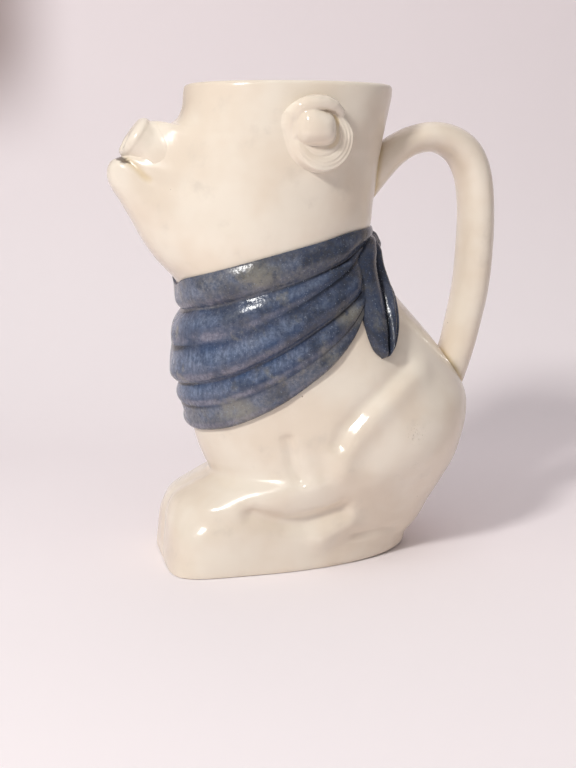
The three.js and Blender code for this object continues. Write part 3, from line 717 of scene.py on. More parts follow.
class JugGlazeSettings(PropertyGroup):
    """Colours and gloss of the two glazes."""

    cream: tint("Cream", "Glaze over the white slip", "#EBE1D2")
    cream_deep: tint("Deep cream", "Where the slip lies thinner", "#E4D6C4")
    cream_grey: tint("Grey cream", "Faint smoky clouds in the glaze", "#CFC4B6")
    honey: tint("Honey", "Glaze pooled in a crease", "#CDB37C")
    pit: tint("Pit", "Small pit where the kiln popped a bubble", "#6A5646")
    clay: tint("Clay", "Bare earthenware on the foot rim", "#D2B48C")
    # Painted shade in the mouth's slit and at the handle's root; it also darkens the deeper parts
    # of the nostrils' dents.
    inside: tint("Inside", "Dark of the mouth, the nostrils and the handle's root", "#3A2A22")
    cream_gloss: FloatProperty(name="Cream roughness", description="Roughness of the cream glaze",
                               default=0.2, min=0.02, max=1.0, subtype="FACTOR")
    blue: tint("Blue", "Cobalt stain", "#485C7E")
    # Painted highlight on the fold crowns and painted light on the band's front.
    painted_light_blue: tint("Light blue", "Thin stain on the crowns of the folds", "#8492AB")
    blue_grey: tint("Grey blue", "Clouded stain", "#6A7186")
    # Brush strokes and mottling, and also the painted shade off the fold crowns.
    blue_deep: tint("Deep blue", "Thick strokes of stain", "#2F3C56")
    ash: tint("Ash", "Grey stain on the topmost and the lowest fold", "#7B7B7E")
    olive: tint("Olive", "Clouds where the stain burnt out", "#8C887B")
    worn: tint("Worn", "Stain rubbed off along the folds", "#8E8B98")
    # Painted shade towards the knot.
    nape_shade: tint("Dusk", "Thick stain near the knot", "#33363F")
    # Painted shade in the tucks.
    tuck: tint("Tuck", "Stain run together in the tucks", "#14171F")
    fleck: tint("Fleck", "Pale specks in the stain", "#98A3B4")
    spot: tint("Spot", "Dark grains of stain", "#2A3040")
    blue_gloss: FloatProperty(name="Blue roughness", description="Roughness of the blue glaze",
                              default=0.2, min=0.02, max=1.0, subtype="FACTOR")


class JugStageSettings(PropertyGroup):
    """The table, the backdrop and the light."""

    floor: tint("Floor", "Colour of the table", "#F8F1F3")
    wall: tint("Wall", "Colour of the backdrop", "#F2E9EB")
    # Painted shade in the backdrop's far corner.
    shade: tint("Wall shade", "Colour of the backdrop's darker corner", "#9C8C89")
    key_power: FloatProperty(name="Window power", description="Power of the window at the left",
                             default=12.4, min=0.0, max=200.0, subtype="POWER", unit="POWER")
    fill_power: FloatProperty(name="Room power", description="Power of the soft light in front",
                              default=1.6, min=0.0, max=200.0, subtype="POWER", unit="POWER")
    top_power: FloatProperty(name="Ceiling power", description="Power of the soft light overhead",
                             default=11.5, min=0.0, max=200.0, subtype="POWER", unit="POWER")
    card_power: FloatProperty(name="Card power",
                              description="Power of the light thrown back by a card at the right",
                              default=0.2, min=0.0, max=20.0, subtype="POWER", unit="POWER")
    world_level: FloatProperty(name="Room level", description="Strength of the room's light",
                               default=0.15, min=0.0, max=3.0)
    room: tint("Room", "Colour of the room's light", "#F2EEF0")


# The body

MOUTH_PLACE = (-86.7, 205.9)
MOUTH_DIP = math.radians(38)
MOUTH_DEPTH = 48.0
MOUTH_FULLNESS = 0.8
MOUTH_SIDES, MOUTH_STEPS = 40, 10
# Where painted shade darkens the walls of the mouth's slit: off its plane, across it, from its
# front to its back, and how dark it lies.
GLOOM_OFF, GLOOM_ACROSS, GLOOM_FRONT, GLOOM_BACK, GLOOM = 1.4, 9.8, -6, 16, 0.8
# Rings of the hollow under the foot, by inset and by turn, and of the foot's rounded edge, by
# inset and height.
FOOT_HOLLOW_INSETS = (24, 8, 2, 0.4)
FOOT_HOLLOW_TURNS = (0.5, 1.0)
FOOT_HOLLOW_ROUND = 0.5
FOOT_EDGE = [(1.2, 0), (0.5, 0.25), (0.12, 0.7)]
SKIN_START = 1.2
LIP_STEPS = 14
# The inside starts over the floor at this ring of the foot.
FLOOR_RING = 3
INSIDE_RINGS = 56
FLOOR_STEPS = 6
FLOOR_ROUND = 1.2
BARE_HEIGHT = 0.05
SHARP_ANGLE = math.radians(50)
# Creases where the glaze pools: the points, how wide it spreads, and how strongly it pools.
POOLED_CREASES = {
    "corner of the mouth": ([(-84, 205.4), (-81, 203), (-78, 200.4), (-75, 196.6),
                             (-72.5, 194.6)], 2.4, 0.6),
    "behind the disc": ([(-66.5, 221), (-71, 213.5), (-76, 207)], 2.2, 0.25),
}
POOL_START = 4
# Patches where the glaze blistered: centre and spread.
BLISTERS = [((54, -49, 69.8), 6.5), ((54.6, -46.3, 53.5), 3.6)]
BLISTER_FALL = 1.6


def slit_points(width, height):
    """The flat slit of the mouth as a closed superellipse prism in the potter's frame."""
    turn = np.linspace(0, 2 * np.pi, MOUTH_SIDES, endpoint=False)
    c, s = np.cos(turn), np.sin(turn)
    across = np.sign(c) * np.abs(c) ** MOUTH_FULLNESS * width / 2
    high = np.sign(s) * np.abs(s) ** MOUTH_FULLNESS * height / 2
    along = np.linspace(-MOUTH_DEPTH / 2, MOUTH_DEPTH / 2, MOUTH_STEPS)
    dip_c, dip_s = math.cos(MOUTH_DIP), math.sin(MOUTH_DIP)
    rings = []
    for d in along:
        x = MOUTH_PLACE[0] + d * dip_c + high * dip_s
        z = MOUTH_PLACE[1] - d * dip_s + high * dip_c
        rings.append(np.stack([x, across, z], -1))
    rings = np.array(rings)
    return weave(rings, rings[0].mean(0), rings[-1].mean(0))


class PIGJUG_OT_body(Operator):
    """Builds the hollow body from the foot to the rim, with its modelled flanks and slit mouth"""

    bl_idname = "pigjug.body"
    bl_label = "Body"

    def execute(self, context):
        sizes = context.scene.jug_potting
        lip, wall = sizes.lip * 1000, sizes.wall * 1000
        rim, recess, thick = sizes.foot_rim * 1000, sizes.foot_recess * 1000, sizes.floor * 1000
        skin = Skin(lip)
        t = np.arange(sizes.columns) / sizes.columns

        def level(v, inset, z):
            """A ring of the plain skin laid flat at a height."""
            ring = skin.at(np.full(t.shape, v), t, inset)
            ring[:, 2] = z
            return ring

        rings = [level(0, rim + recess + inset, recess) for inset in FOOT_HOLLOW_INSETS]
        for a in FOOT_HOLLOW_TURNS:
            fall = recess * (1 - math.sin(a))
            rings.append(level(0, rim + fall, fall * FOOT_HOLLOW_ROUND))
        rings += [level(0, rim, 0), level(0, rim / 2, 0)]
        rings += [level(0, inset, height) for inset, height in FOOT_EDGE]
        v = np.linspace(0, skin.end, sizes.rows)
        v[0] = min(SKIN_START, v[1] / 2)
        rings += list(skin.outer(v[:, None], t[None]))
        radius = lip / 2
        for k in range(1, LIP_STEPS + 1):
            turn = math.pi * k / LIP_STEPS
            rings.append(level(skin.end, radius * (1 - math.cos(turn)),
                               JUG_HEIGHT - radius + radius * math.sin(turn)))
        low = skin.times[FLOOR_RING]
        rings += [skin.at(np.full(t.shape, v), t, wall)
                  for v in np.linspace(skin.times[-2], low, INSIDE_RINGS)]
        for k in range(1, FLOOR_STEPS + 1):
            turn = math.pi / 2 * k / FLOOR_STEPS
            inset = wall + wall * FLOOR_ROUND * (1 - math.cos(turn))
            base = skin.at(np.full(t.shape, low), t, inset)
            base[:, 2] += (thick - base[:, 2]) * math.sin(turn)
            rings.append(base)
        axis = np.array([1, 0, 0])
        points, faces = weave(np.array(rings), skin.at(0.0, 0.25) * axis + [0, 0, recess],
                              skin.at(low, 0.25) * axis + [0, 0, thick])
        body = new_piece("Body", points, faces, cream())
        slit, slit_faces = slit_points(sizes.mouth_width * 1000, sizes.mouth_height * 1000)
        cut(body, new_piece("Mouth_cut", slit, slit_faces, cream()))
        self.glaze_marks(body)
        body.data.set_sharp_from_angle(angle=SHARP_ANGLE)
        finished(body, "body_shell")
        return {"FINISHED"}

    def glaze_marks(self, body):
        """Where the glaze pools, blisters or is wiped off, and the painted shade in the mouth's
        slit.
        """
        place = to_potter(body.data)
        x, y, z = place.T
        pool = np.zeros(len(place))
        for path, wide, amount in POOLED_CREASES.values():
            reach, _ = path_reach(x, z, path)
            side = np.clip((np.abs(y) - POOL_START) / POOL_START, 0, 1)
            pool = np.maximum(pool, amount * side * bell(reach, 0, wide))
        blister = np.zeros(len(place))
        for centre, wide in BLISTERS:
            gap = np.linalg.norm(place - np.array(centre), axis=1) / wide
            blister = np.maximum(blister, np.clip(BLISTER_FALL * (1 - gap), 0, 1))
        ahead, above = x - MOUTH_PLACE[0], z - MOUTH_PLACE[1]
        along = ahead * math.cos(MOUTH_DIP) - above * math.sin(MOUTH_DIP)
        off = ahead * math.sin(MOUTH_DIP) + above * math.cos(MOUTH_DIP)
        # Painted shade on the walls of the mouth's slit.
        inside = (np.abs(off) < GLOOM_OFF) & (np.abs(y) < GLOOM_ACROSS)
        inside = inside & (along > GLOOM_FRONT) & (along < GLOOM_BACK)
        mark(body, pool=pool, blister=blister, bare=z < BARE_HEIGHT, dark=inside * GLOOM)


# The handle

GRIP_REACH = 101.6
# Reach, height, thickness and width along the handle, from the nape to the haunches.
GRIP_SHARES = [
    [0.275, 0.75, 0.95, 0.95],
    [0.362, 0.791, 0.93, 0.95],
    [0.457, 0.8335, 0.84, 0.95],
    [0.545, 0.866, 0.75, 0.92],
    [0.646, 0.889, 0.71, 0.9],
    [0.76, 0.8975, 0.74, 0.9],
    [0.861, 0.886, 0.83, 0.92],
    [0.936, 0.8595, 0.89, 0.95],
    [0.984, 0.8145, 0.88, 0.98],
    [1.005, 0.75, 0.86, 1],
    [1.005, 0.667, 0.88, 1],
    [0.988, 0.575, 0.87, 1],
    [0.951, 0.496, 0.85, 0.98],
    [0.914, 0.433, 0.83, 0.96],
    [0.86, 0.375, 0.85, 0.96],
    [0.778, 0.317, 0.9, 0.96],
]
HANDLE_STEPS, HANDLE_SIDES = 220, 72
# How much, and over which share of its length, the handle flares at its lower root.
ROOT_FLARE, ROOT_SHARE = 0.1, 0.07
# The part of the skin that the roots stand on: from this ring up, between two places around.
ROOT_RING, ROOT_SIDE = 5, (0.3, 0.7)
# How near the skin the glaze pools, how strongly, and the heights between which painted shade
# darkens the handle's root.
ROOT_POOL_REACH, ROOT_POOL, ROOT_GLOOM = 2.2, 0.7, 0.5
ROOT_GLOOM_START, ROOT_GLOOM_FULL, ROOT_GLOOM_END = 88, 96, 102


def rounded_path(rows, count):
    """Points at like spacing through the rows, on a Catmull-Rom curve."""
    rows = np.array(rows, float)
    held = np.vstack([2 * rows[0] - rows[1], rows, 2 * rows[-1] - rows[-2]])
    share = np.linspace(0, len(rows) - 1, count)
    i = np.minimum(share.astype(int), len(rows) - 2)
    p = (share - i)[:, None]
    a, b, c, d = held[i], held[i + 1], held[i + 2], held[i + 3]
    return 0.5 * (2 * b + (c - a) * p + (2 * a - 5 * b + 4 * c - d) * p**2
                  + (3 * b - a - 3 * c + d) * p**3)


def handle_tree():
    """Sweeps an oval section along a path whose points say how thick and wide it is."""
    tree = bpy.data.node_groups.new("Handle along its path", "GeometryNodeTree")
    for name, kind in (("Geometry", "Geometry"), ("Thickness", "Float"), ("Width", "Float"),
                       ("Sides", "Int"), ("Glaze", "Material")):
        tree.interface.new_socket(name, in_out="INPUT", socket_type="NodeSocket" + kind)
    tree.interface.new_socket("Geometry", in_out="OUTPUT", socket_type="NodeSocketGeometry")
    given = tree.nodes.new("NodeGroupInput").outputs
    add = partial(join, tree)
    half = {}
    for name, size in (("thick", "Thickness"), ("wide", "Width")):
        share = add("GeometryNodeInputNamedAttribute", Name=name, data_type="FLOAT",
                    out="Attribute")
        half[name] = add(MATH, add(MATH, share, given[size], **TIMES), 0.5, **TIMES)
    path = add("GeometryNodeMeshToCurve", Mesh=given["Geometry"])
    section = add("GeometryNodeCurvePrimitiveCircle", Resolution=given["Sides"], Radius=1.0,
                  mode="RADIUS")
    sized = add("GeometryNodeSetCurveRadius", Curve=path, Radius=half["thick"])
    tube = add("GeometryNodeCurveToMesh", Curve=sized, Profile_Curve=section,
               Scale=add("GeometryNodeInputRadius"), Fill_Caps=True)
    place = add("ShaderNodeSeparateXYZ", Vector=add("GeometryNodeInputPosition")).node.outputs
    ratio = add(MATH, half["wide"], half["thick"], operation="DIVIDE")
    placed = add("ShaderNodeCombineXYZ", place["X"], add(MATH, place["Y"], ratio, **TIMES),
                 place["Z"])
    oval = add("GeometryNodeSetPosition", Geometry=tube, Position=placed)
    whole = add("GeometryNodeRealizeInstances", Geometry=oval)
    glazed = add("GeometryNodeSetMaterial", Geometry=whole, Material=given["Glaze"])
    add("NodeGroupOutput", Geometry=glazed)
    return tree


class PIGJUG_OT_handle(Operator):
    """Sweeps the oval handle from the nape over the fingers and down to the haunches"""

    bl_idname = "pigjug.handle"
    bl_label = "Handle"

    def execute(self, context):
        sizes = context.scene.jug_potting
        rows = rounded_path(GRIP_SHARES, HANDLE_STEPS)
        points = np.stack([rows[:, 0] * GRIP_REACH, np.zeros(len(rows)),
                           rows[:, 1] * JUG_HEIGHT], -1)
        path = new_piece("Handle", points, [], cream(), smooth=False)
        path.data.edges.add(len(rows) - 1)
        pairs = np.stack([np.arange(len(rows) - 1), np.arange(1, len(rows))], -1)
        path.data.edges.foreach_set("vertices", pairs.ravel().astype(np.int32))
        reach = np.linspace(0, 1, len(rows))
        flare = 1 + ROOT_FLARE * bell(1 - reach, 0, ROOT_SHARE)
        mark(path, thick=rows[:, 2] * flare, wide=rows[:, 3] * flare)
        tree = handle_tree()
        step = path.modifiers.new("Sweep", "NODES")
        step.node_group = tree
        values = {"Thickness": sizes.grip_thickness, "Width": sizes.grip_width,
                  "Sides": HANDLE_SIDES, "Glaze": cream()}
        for item in tree.interface.items_tree:
            if item.in_out == "INPUT" and item.name in values:
                step[item.identifier] = values[item.name]
        bake(path)
        if not path.data.polygons:
            raise RuntimeError("the handle has no surface")
        skin = Skin(sizes.lip * 1000)
        trim(path, skin)
        place = to_potter(path.data)
        tree = skin_tree(skin, ROOT_RING, ROOT_SIDE)
        gap = np.array([tree.find_nearest(Vector(point))[3] for point in place])
        root = bell(gap, 0, ROOT_POOL_REACH)
        # Painted shade where the handle meets the skin, between these heights.
        root_shade_band = np.interp(place[:, 2], (ROOT_GLOOM_START, ROOT_GLOOM_FULL, ROOT_GLOOM_END),
                          (0, 1, 0))
        mark(path, pool=root * ROOT_POOL, blister=0, bare=0, dark=root * root_shade_band * ROOT_GLOOM)
        finished(path, "handle")
        return {"FINISHED"}


# The snout's disc

DISC_PLACE = (-79.6, 216.2)
DISC_TILT = math.radians(54.8)
DISC_HEIGHT = 22.0
DISC_WIDTH = 27.0
DISC_DOME = 0.5
DISC_EDGE = 3.8
DISC_STEPS, EDGE_STEPS, DISC_SIDES = 30, 14, 120
# The face's profile runs between these shares of the way to its rounded edge.
FACE_START, FACE_END = 0.02, 0.97
NOSTRIL_SPREAD = 10.0
NOSTRIL_SIZE = 2.4
NOSTRIL_DROP = 5.0
NOSTRIL_DEPTH = 2.6
NOSTRIL_LENGTH, NOSTRIL_FALL, NOSTRIL_POWER = 1.25, 1.05, 6
# The nostrils lie dark from this share of their depth on, this quickly, and at most so much.
NOSTRIL_GLOOM = (0.5, 1.6, 0.9)
# The skirt behind the disc: how far back it goes, how it flares and turns in at last, and the
# fillet with which it meets the skin.
SKIRT_START, SKIRT_END, SKIRT_RINGS = 0.7, 20.0, 26
SKIRT_FLARE = 0.01
SKIRT_TURN, SKIRT_TURN_SHARE = 0.045, 0.65
SKIRT_FILLET = 1.0
SKIRT_SINK = 0.16
# Where the skirt no longer reaches the skin: the gap at which it lets go, over how much more it
# does so, how far out it then goes, the gap beyond which the skin doesn't count, and the reach
# that stands for no skin at all.
LOOSE_GAP, LOOSE_SPAN, LOOSE_LIFT, LOOSE_LIMIT, NO_SKIN = 1.8, 1.2, 1.5, 20, 60.0
# Over the mouth the skirt stays within the disc's edge.
MOUTH_SIDE_START, MOUTH_SIDE_SPAN = 0.45, 0.33
SNOUT_RING, SNOUT_SIDE = 9, (-0.2, 0.2)
EXPONENT_LIMIT = 30


def to_snout(up, across, out):
    """Places a point of the disc: up along it, across it, and out of its face."""
    c, s = math.cos(DISC_TILT), math.sin(DISC_TILT)
    return np.stack([DISC_PLACE[0] + up * c - out * s, across, DISC_PLACE[1] + up * s + out * c],
                    -1)


def round_snout(radius, turn, out):
    """Points on the disc's oval of a radius."""
    return to_snout(radius * np.cos(turn), radius * np.sin(turn) * DISC_WIDTH / DISC_HEIGHT, out)


class PIGJUG_OT_disc(Operator):
    """Turns the flat rounded disc on the end of the snout, with its two nostrils"""

    bl_idname = "pigjug.disc"
    bl_label = "Snout disc"

    def execute(self, context):
        half = DISC_HEIGHT / 2
        centre = half - DISC_EDGE
        profile = [(s * centre, DISC_DOME * (1 - s * s))
                   for s in np.linspace(FACE_START, FACE_END, DISC_STEPS)]
        profile += [(centre + DISC_EDGE * math.cos(a), -DISC_EDGE + DISC_EDGE * math.sin(a))
                    for a in np.linspace(math.pi / 2, 0, EDGE_STEPS)]
        turn = np.linspace(0, 2 * np.pi, DISC_SIDES, endpoint=False)
        skin = Skin(context.scene.jug_potting.lip * 1000)
        rings, dents = [], []
        for radius, out in profile:
            up = radius * np.cos(turn)
            across = radius * np.sin(turn) * DISC_WIDTH / DISC_HEIGHT
            dent = np.zeros(turn.shape)
            if out > -DISC_EDGE and radius < half - 1:
                for side in (-1, 1):
                    gap = np.hypot((up + NOSTRIL_DROP) / NOSTRIL_LENGTH,
                                   across - side * NOSTRIL_SPREAD / 2)
                    fall = (gap / NOSTRIL_SIZE * NOSTRIL_FALL)**NOSTRIL_POWER
                    dent = np.maximum(dent, 1 / (1 + fall))
            rings.append(to_snout(up, across, out - NOSTRIL_DEPTH * dent))
            dents.append(dent)
        for radius, out in self.skirt(skin, profile[-1], turn):
            rings.append(round_snout(radius, turn, out))
            dents.append(np.zeros(turn.shape))
        rings = np.array(rings)[:, ::-1]
        dents = np.array(dents)[:, ::-1].ravel()
        points, faces = weave(rings, to_snout(0.0, 0.0, DISC_DOME),
                              to_snout(0.0, 0.0, -SKIRT_END))
        disc = new_piece("Snout_disc", points, faces, cream())
        start, growth, most = NOSTRIL_GLOOM
        mark(disc, dark=np.append(np.clip(dents * growth - start, 0, most), [0, 0]))
        trim(disc, skin)
        mark(disc, pool=0, blister=0, bare=0)
        finished(disc, "snout_disc")
        return {"FINISHED"}

    def skirt(self, skin, edge, turn):
        """Rings that carry the edge of the disc back onto the skin of the snout with a fillet."""
        tree = skin_tree(skin, SNOUT_RING, SNOUT_SIDE)
        rim, back = edge
        mouth = np.clip((-np.cos(turn) - MOUTH_SIDE_START) / MOUTH_SIDE_SPAN, 0, 1)
        rings = []
        for depth in np.linspace(-back + SKIRT_START, SKIRT_END, SKIRT_RINGS):
            axis = Vector(to_snout(0.0, 0.0, -depth))
            reach = []
            for a in turn:
                way = Vector(round_snout(1.0, a, -depth)) - axis
                hit = tree.ray_cast(axis, way.normalized(), NO_SKIN)[0]
                reach.append((hit - axis).length / way.length if hit is not None else NO_SKIN)
            reach = np.array(reach)
            tube = rim + SKIRT_FLARE * (depth + back) ** 2
            tube -= SKIRT_TURN * max(0.0, depth - SKIRT_END * SKIRT_TURN_SHARE) ** 2
            gap = reach - tube
            push = np.exp(np.clip(-gap, -EXPONENT_LIMIT, EXPONENT_LIMIT) / SKIRT_FILLET)
            laid = reach + SKIRT_FILLET * np.log1p(push) - SKIRT_SINK
            loose = tube + LOOSE_LIFT
            free = np.clip((gap - LOOSE_GAP) / LOOSE_SPAN, 0, 1)
            laid = np.where(gap > LOOSE_LIMIT, loose, laid) * (1 - free) + loose * free
            rings.append((laid * (1 - mouth) + np.minimum(laid, rim) * mouth, -depth))
        return rings


# The ears

# Centre and half sizes of the saucer, and centre and size of the lobe, seen from the side.
SAUCER = (4.2, 214.6, 15.4, 17.2)
LOBE = (2.7, 218.0, 8.2)
# The rolled edge: place on the side of the head, how far its crest stands off, and its radius.
ROLL = [
    (-8.0, 211.5, 1.6, 2.2),
    (-8.6, 215.5, 2.8, 3.0),
    (-8.4, 219.8, 4.4, 3.6),
    (-7.0, 223.8, 6.6, 4.0),
    (-4.6, 226.8, 8.8, 4.2),
    (-1.4, 228.6, 9.6, 4.2),
    (2.4, 229.3, 9.8, 4.0),
    (6.2, 229.2, 9.5, 3.6),
    (9.8, 228.2, 8.8, 3.0),
    (12.8, 225.8, 7.2, 2.4),
    (13.9, 222.4, 5.0, 1.6),
]
# The saucer's height at its upper front, what it gains towards its lower back, and where it
# falls off there and there, in shares of its size.
PLATE_HEIGHT, PLATE_GAIN, PLATE_TURN = 3.2, 3.4, 26
PLATE_START, PLATE_START_GAIN, PLATE_END, PLATE_END_LOSS = 0.62, 0.31, 1.22, 0.22
# Thrown rings on the saucer: place and height, and how wide each is.
PLATE_RINGS = ((0.9, 0.3), (0.8, 0.35), (0.7, 0.35), (0.56, -0.6))
PLATE_RING_WIDTH = 0.04
# How the lobe rises, rounds off and grows squarer towards its upper front.
LOBE_FOOT, LOBE_RISE, LOBE_FALL, LOBE_ROUND, LOBE_POWER = 1.0, 11.4, 2.6, 1 / 2.2, 3
LOBE_SQUARING, LOBE_SQUARE_SPAN, LOBE_SHIFT = 0.25, 6, 3
# Where the rolled edge passes into its skirt of clay, and how far that runs out and fades.
ROLL_CORE, ROLL_DROP = 0.8, 0.4
ROLL_SKIRT, ROLL_SKIRT_GAIN, ROLL_SKIRT_SPAN, ROLL_FADE = 3.2, 1.8, 8, 0.75
# The clay between the lobe and the roll: its centre, half sizes and height.
BRIDGE, BRIDGE_SIZE, BRIDGE_HEIGHT, BRIDGE_POWER = (-5.4, 219.5), (3.8, 7.5), 6.4, 4
# The fillet between the ear's forms, how deep the ear sits, and the pooled glaze round the lobe,
# which on the lobe's side away from the light is also painted shade.
EAR_FILLET, EAR_SINK = 0.5, 0.75
CREASE_WIDTH, CREASE_SPAN, CREASE_REACH, CREASE_POOL = 2.2, 5, 1.2, 0.7
# The patch of skin under the ear: its lowest ring, places around, points and reach. A
# polynomial is fitted to it, with this many powers each way of a place in this unit.
EAR_RING, EAR_SIDE, EAR_GRID, EAR_REACH = 18, (0.2, 0.44), 60, 27
EAR_TERMS, EAR_UNIT, EAR_STEP = 5, 20, 0.1
# Points and rings of the ear, how wide it is, its tucked edge and its back inside the wall.
EAR_SIDES, EAR_RINGS, EAR_START = 144, 84, 0.012
EAR_WIDE, EAR_WIDE_LOSS, EAR_TUCK = 1.3, 0.2, 0.6
EAR_BACK, EAR_BACK_SHRINK = 1.6, 0.04


def soft_max(parts, soft):
    """The highest of several heights, with a fillet where they meet."""
    parts = np.stack(parts)
    top = parts.max(0)
    return top + soft * np.log(np.exp((parts - top) / soft).sum(0))


def ear_height(x, z):
    """How far the ear stands off the head, and how deep a point lies in a crease."""
    cx, cz, rx, rz = SAUCER
    out = np.hypot((x - cx) / rx, (z - cz) / rz)
    low = np.clip(0.5 + ((x - cx) - (z - cz)) / PLATE_TURN, 0, 1)
    start, end = PLATE_START + PLATE_START_GAIN * low, PLATE_END - PLATE_END_LOSS * low
    plate = (PLATE_HEIGHT + PLATE_GAIN * low) * (1 - eased((out - start) / (end - start)))
    for ring, rise in PLATE_RINGS:
        plate = plate + low * rise * bell(out, ring, PLATE_RING_WIDTH)
    lx, lz, size = LOBE
    front = np.clip((lx - x) / LOBE_SQUARE_SPAN, 0, 1)
    wide = size * (1 + LOBE_SQUARING * front)
    corner = np.clip((z - lz) / LOBE_SQUARE_SPAN, 0, 1) * np.clip(
        (lx + LOBE_SHIFT - x) / LOBE_SQUARE_SPAN, 0, 1)
    tall = size * (1 + LOBE_SQUARING * corner)
    gap = ((np.abs(x - lx) / wide) ** LOBE_POWER
           + (np.abs(z - lz) / tall) ** LOBE_POWER) ** (1 / LOBE_POWER)
    lobe = LOBE_FOOT + LOBE_RISE * np.clip(1 - gap**LOBE_FALL, 0, 1) ** LOBE_ROUND
    reach, share = path_reach(x, z, [row[:2] for row in ROLL])
    at = np.linspace(0, 1, len(ROLL))
    crest = np.interp(share, at, [row[2] for row in ROLL])
    size = np.interp(share, at, [row[3] for row in ROLL])
    roll = (crest - size) + size * np.clip(1 - (reach / size) ** 2, 0, 1) ** 0.5
    skirt_span = ROLL_SKIRT + ROLL_SKIRT_GAIN * np.clip(-x / ROLL_SKIRT_SPAN, 0, 1)
    skirt = np.clip((reach - size * ROLL_CORE) / skirt_span, 0, 1)
    fallen = (crest - size * ROLL_DROP) * (1 - skirt) ** 2 * (1 - ROLL_FADE * low)
    roll = np.where(reach < size * ROLL_CORE, roll, fallen - ROLL_DROP * skirt)
    bridge = BRIDGE_HEIGHT * np.exp(-(((x - BRIDGE[0]) / BRIDGE_SIZE[0]) ** BRIDGE_POWER)
                                    - ((z - BRIDGE[1]) / BRIDGE_SIZE[1]) ** BRIDGE_POWER)
    height = soft_max([plate, lobe * (gap < 1), roll, bridge], EAR_FILLET)
    near = bell(np.abs(lobe - roll), 0, CREASE_WIDTH)
    # Pooled glaze only on the lobe's side away from the light, where it also stands for painted
    # shade.
    crease = near * np.clip((x - lx) / CREASE_SPAN, 0, 1) * (gap < CREASE_REACH)
    return height - EAR_SINK, crease


def ear_mesh(skin):
    """The right ear as a lens of clay on the side of the head."""
    cx, cz, rx, rz = SAUCER
    v, t = np.meshgrid(np.linspace(skin.times[EAR_RING], skin.end, EAR_GRID),
                       np.linspace(*EAR_SIDE, EAR_GRID))
    near = skin.at(v, t)
    near = near[np.hypot(near[..., 0] - cx, near[..., 2] - cz) < EAR_REACH]
    powers = [(a, b) for a in range(EAR_TERMS) for b in range(EAR_TERMS - a)]

    def terms(x, z):
        """The powers of a place seen from the side."""
        return np.stack([((x - cx) / EAR_UNIT)**a * ((z - cz) / EAR_UNIT)**b
                         for a, b in powers], -1)

    fit = np.linalg.lstsq(terms(near[:, 0], near[:, 2]), near[:, 1], rcond=None)[0]
    turn = np.linspace(0, 2 * np.pi, EAR_SIDES, endpoint=False)
    wide = EAR_WIDE - EAR_WIDE_LOSS * np.clip(np.sin(turn), 0, 1) ** 2
    rings, creases = [], []
    for share in np.linspace(EAR_START, 1.0, EAR_RINGS):
        x = cx + rx * share * wide * np.cos(turn)
        z = cz + rz * share * wide * np.sin(turn)
        y = terms(x, z) @ fit
        dx = (terms(x + EAR_STEP, z) @ fit - y) / EAR_STEP
        dz = (terms(x, z + EAR_STEP) @ fit - y) / EAR_STEP
        normal = np.stack([-dx, np.ones(len(x)), -dz], -1)
        normal /= np.linalg.norm(normal, axis=-1, keepdims=True)
        height, crease = ear_height(x, z)
        height = height - EAR_TUCK * (share == 1.0)
        rings.append(np.stack([x, y, z], -1) + normal * height[:, None])
        creases.append(crease)
    edge = rings[-1]
    rings.append(edge + (edge.mean(0) - edge) * EAR_BACK_SHRINK - np.array([0, EAR_BACK, 0]))
    creases.append(np.zeros(len(turn)))
    first, last = rings[0].mean(0), rings[-1].mean(0)
    return weave(np.array(rings), first, last), np.append(np.array(creases).ravel(), [0, 0])


class PIGJUG_OT_ears(Operator):
    """Models the two round ears, each a saucer with a lobe and a rolled edge"""

    bl_idname = "pigjug.ears"
    bl_label = "Ears"

    def execute(self, context):
        skin = Skin(context.scene.jug_potting.lip * 1000)
        (points, faces), crease = ear_mesh(skin)
        sides = {"right": (points, faces), "left": mirrored_points(points, faces)}
        for side, (spots, sheets) in sides.items():
            ear = new_piece("Ear_" + side, spots, sheets, cream())
            mark(ear, pool=crease * CREASE_POOL, blister=0, bare=0, dark=0)
            finished(ear, "ear_" + side)
        return {"FINISHED"}


# The neckerchief

# Place around, height of the upper and the lower edge, and the four tucks between the folds.
KERCHIEF_SHARES = [
    [-0.1, 0.615, 0.307, 0.195, 0.422, 0.667, 0.834],
    [0, 0.596, 0.291, 0.17, 0.41, 0.66, 0.81],
    [0.1, 0.615, 0.307, 0.195, 0.422, 0.667, 0.834],
    [0.15, 0.625, 0.332, 0.218, 0.45, 0.68, 0.845],
    [0.2, 0.638, 0.3645, 0.238, 0.468, 0.687, 0.858],
    [0.25, 0.654, 0.4015, 0.268, 0.463, 0.7, 0.872],
    [0.3, 0.671, 0.4405, 0.308, 0.46, 0.708, 0.883],
    [0.36, 0.691, 0.5015, 0.36, 0.466, 0.75, 0.91],
    [0.4, 0.7045, 0.556, 0.42, 0.49, 0.815, 0.935],
    [0.44, 0.711, 0.612, 0.4, 0.48, 0.79, 0.93],
    [0.5, 0.712, 0.65, 0.38, 0.46, 0.76, 0.92],
    [0.56, 0.711, 0.612, 0.4, 0.48, 0.79, 0.93],
]
FOLD_CROWNS = [0.54, 0.78, 1, 0.63, 0.42]
FOLD_TUCKS = [0.1, 0.24, 0.72, 0.46, 0.48, 0.16]
FOLD_FULL = 0.12
FOLD_SAG = 1.5
FOLD_ROUND = 0.74
NAPE_FLAT = 0.62
PRESS_START, PRESS_END, PRESS_DEPTH = 0.76, 0.86, 0.7
KERCHIEF_SIDES, FOLD_STEPS, LINING_STEPS = 320, 15, 9
LINING_START = 0.02
# Under the folds the cloth lies this far off the skin, and follows its waves by this share.
CLOTH_GAP, CLOTH_FINE = 0.3, 0.3
KERCHIEF_SINK = 2.2
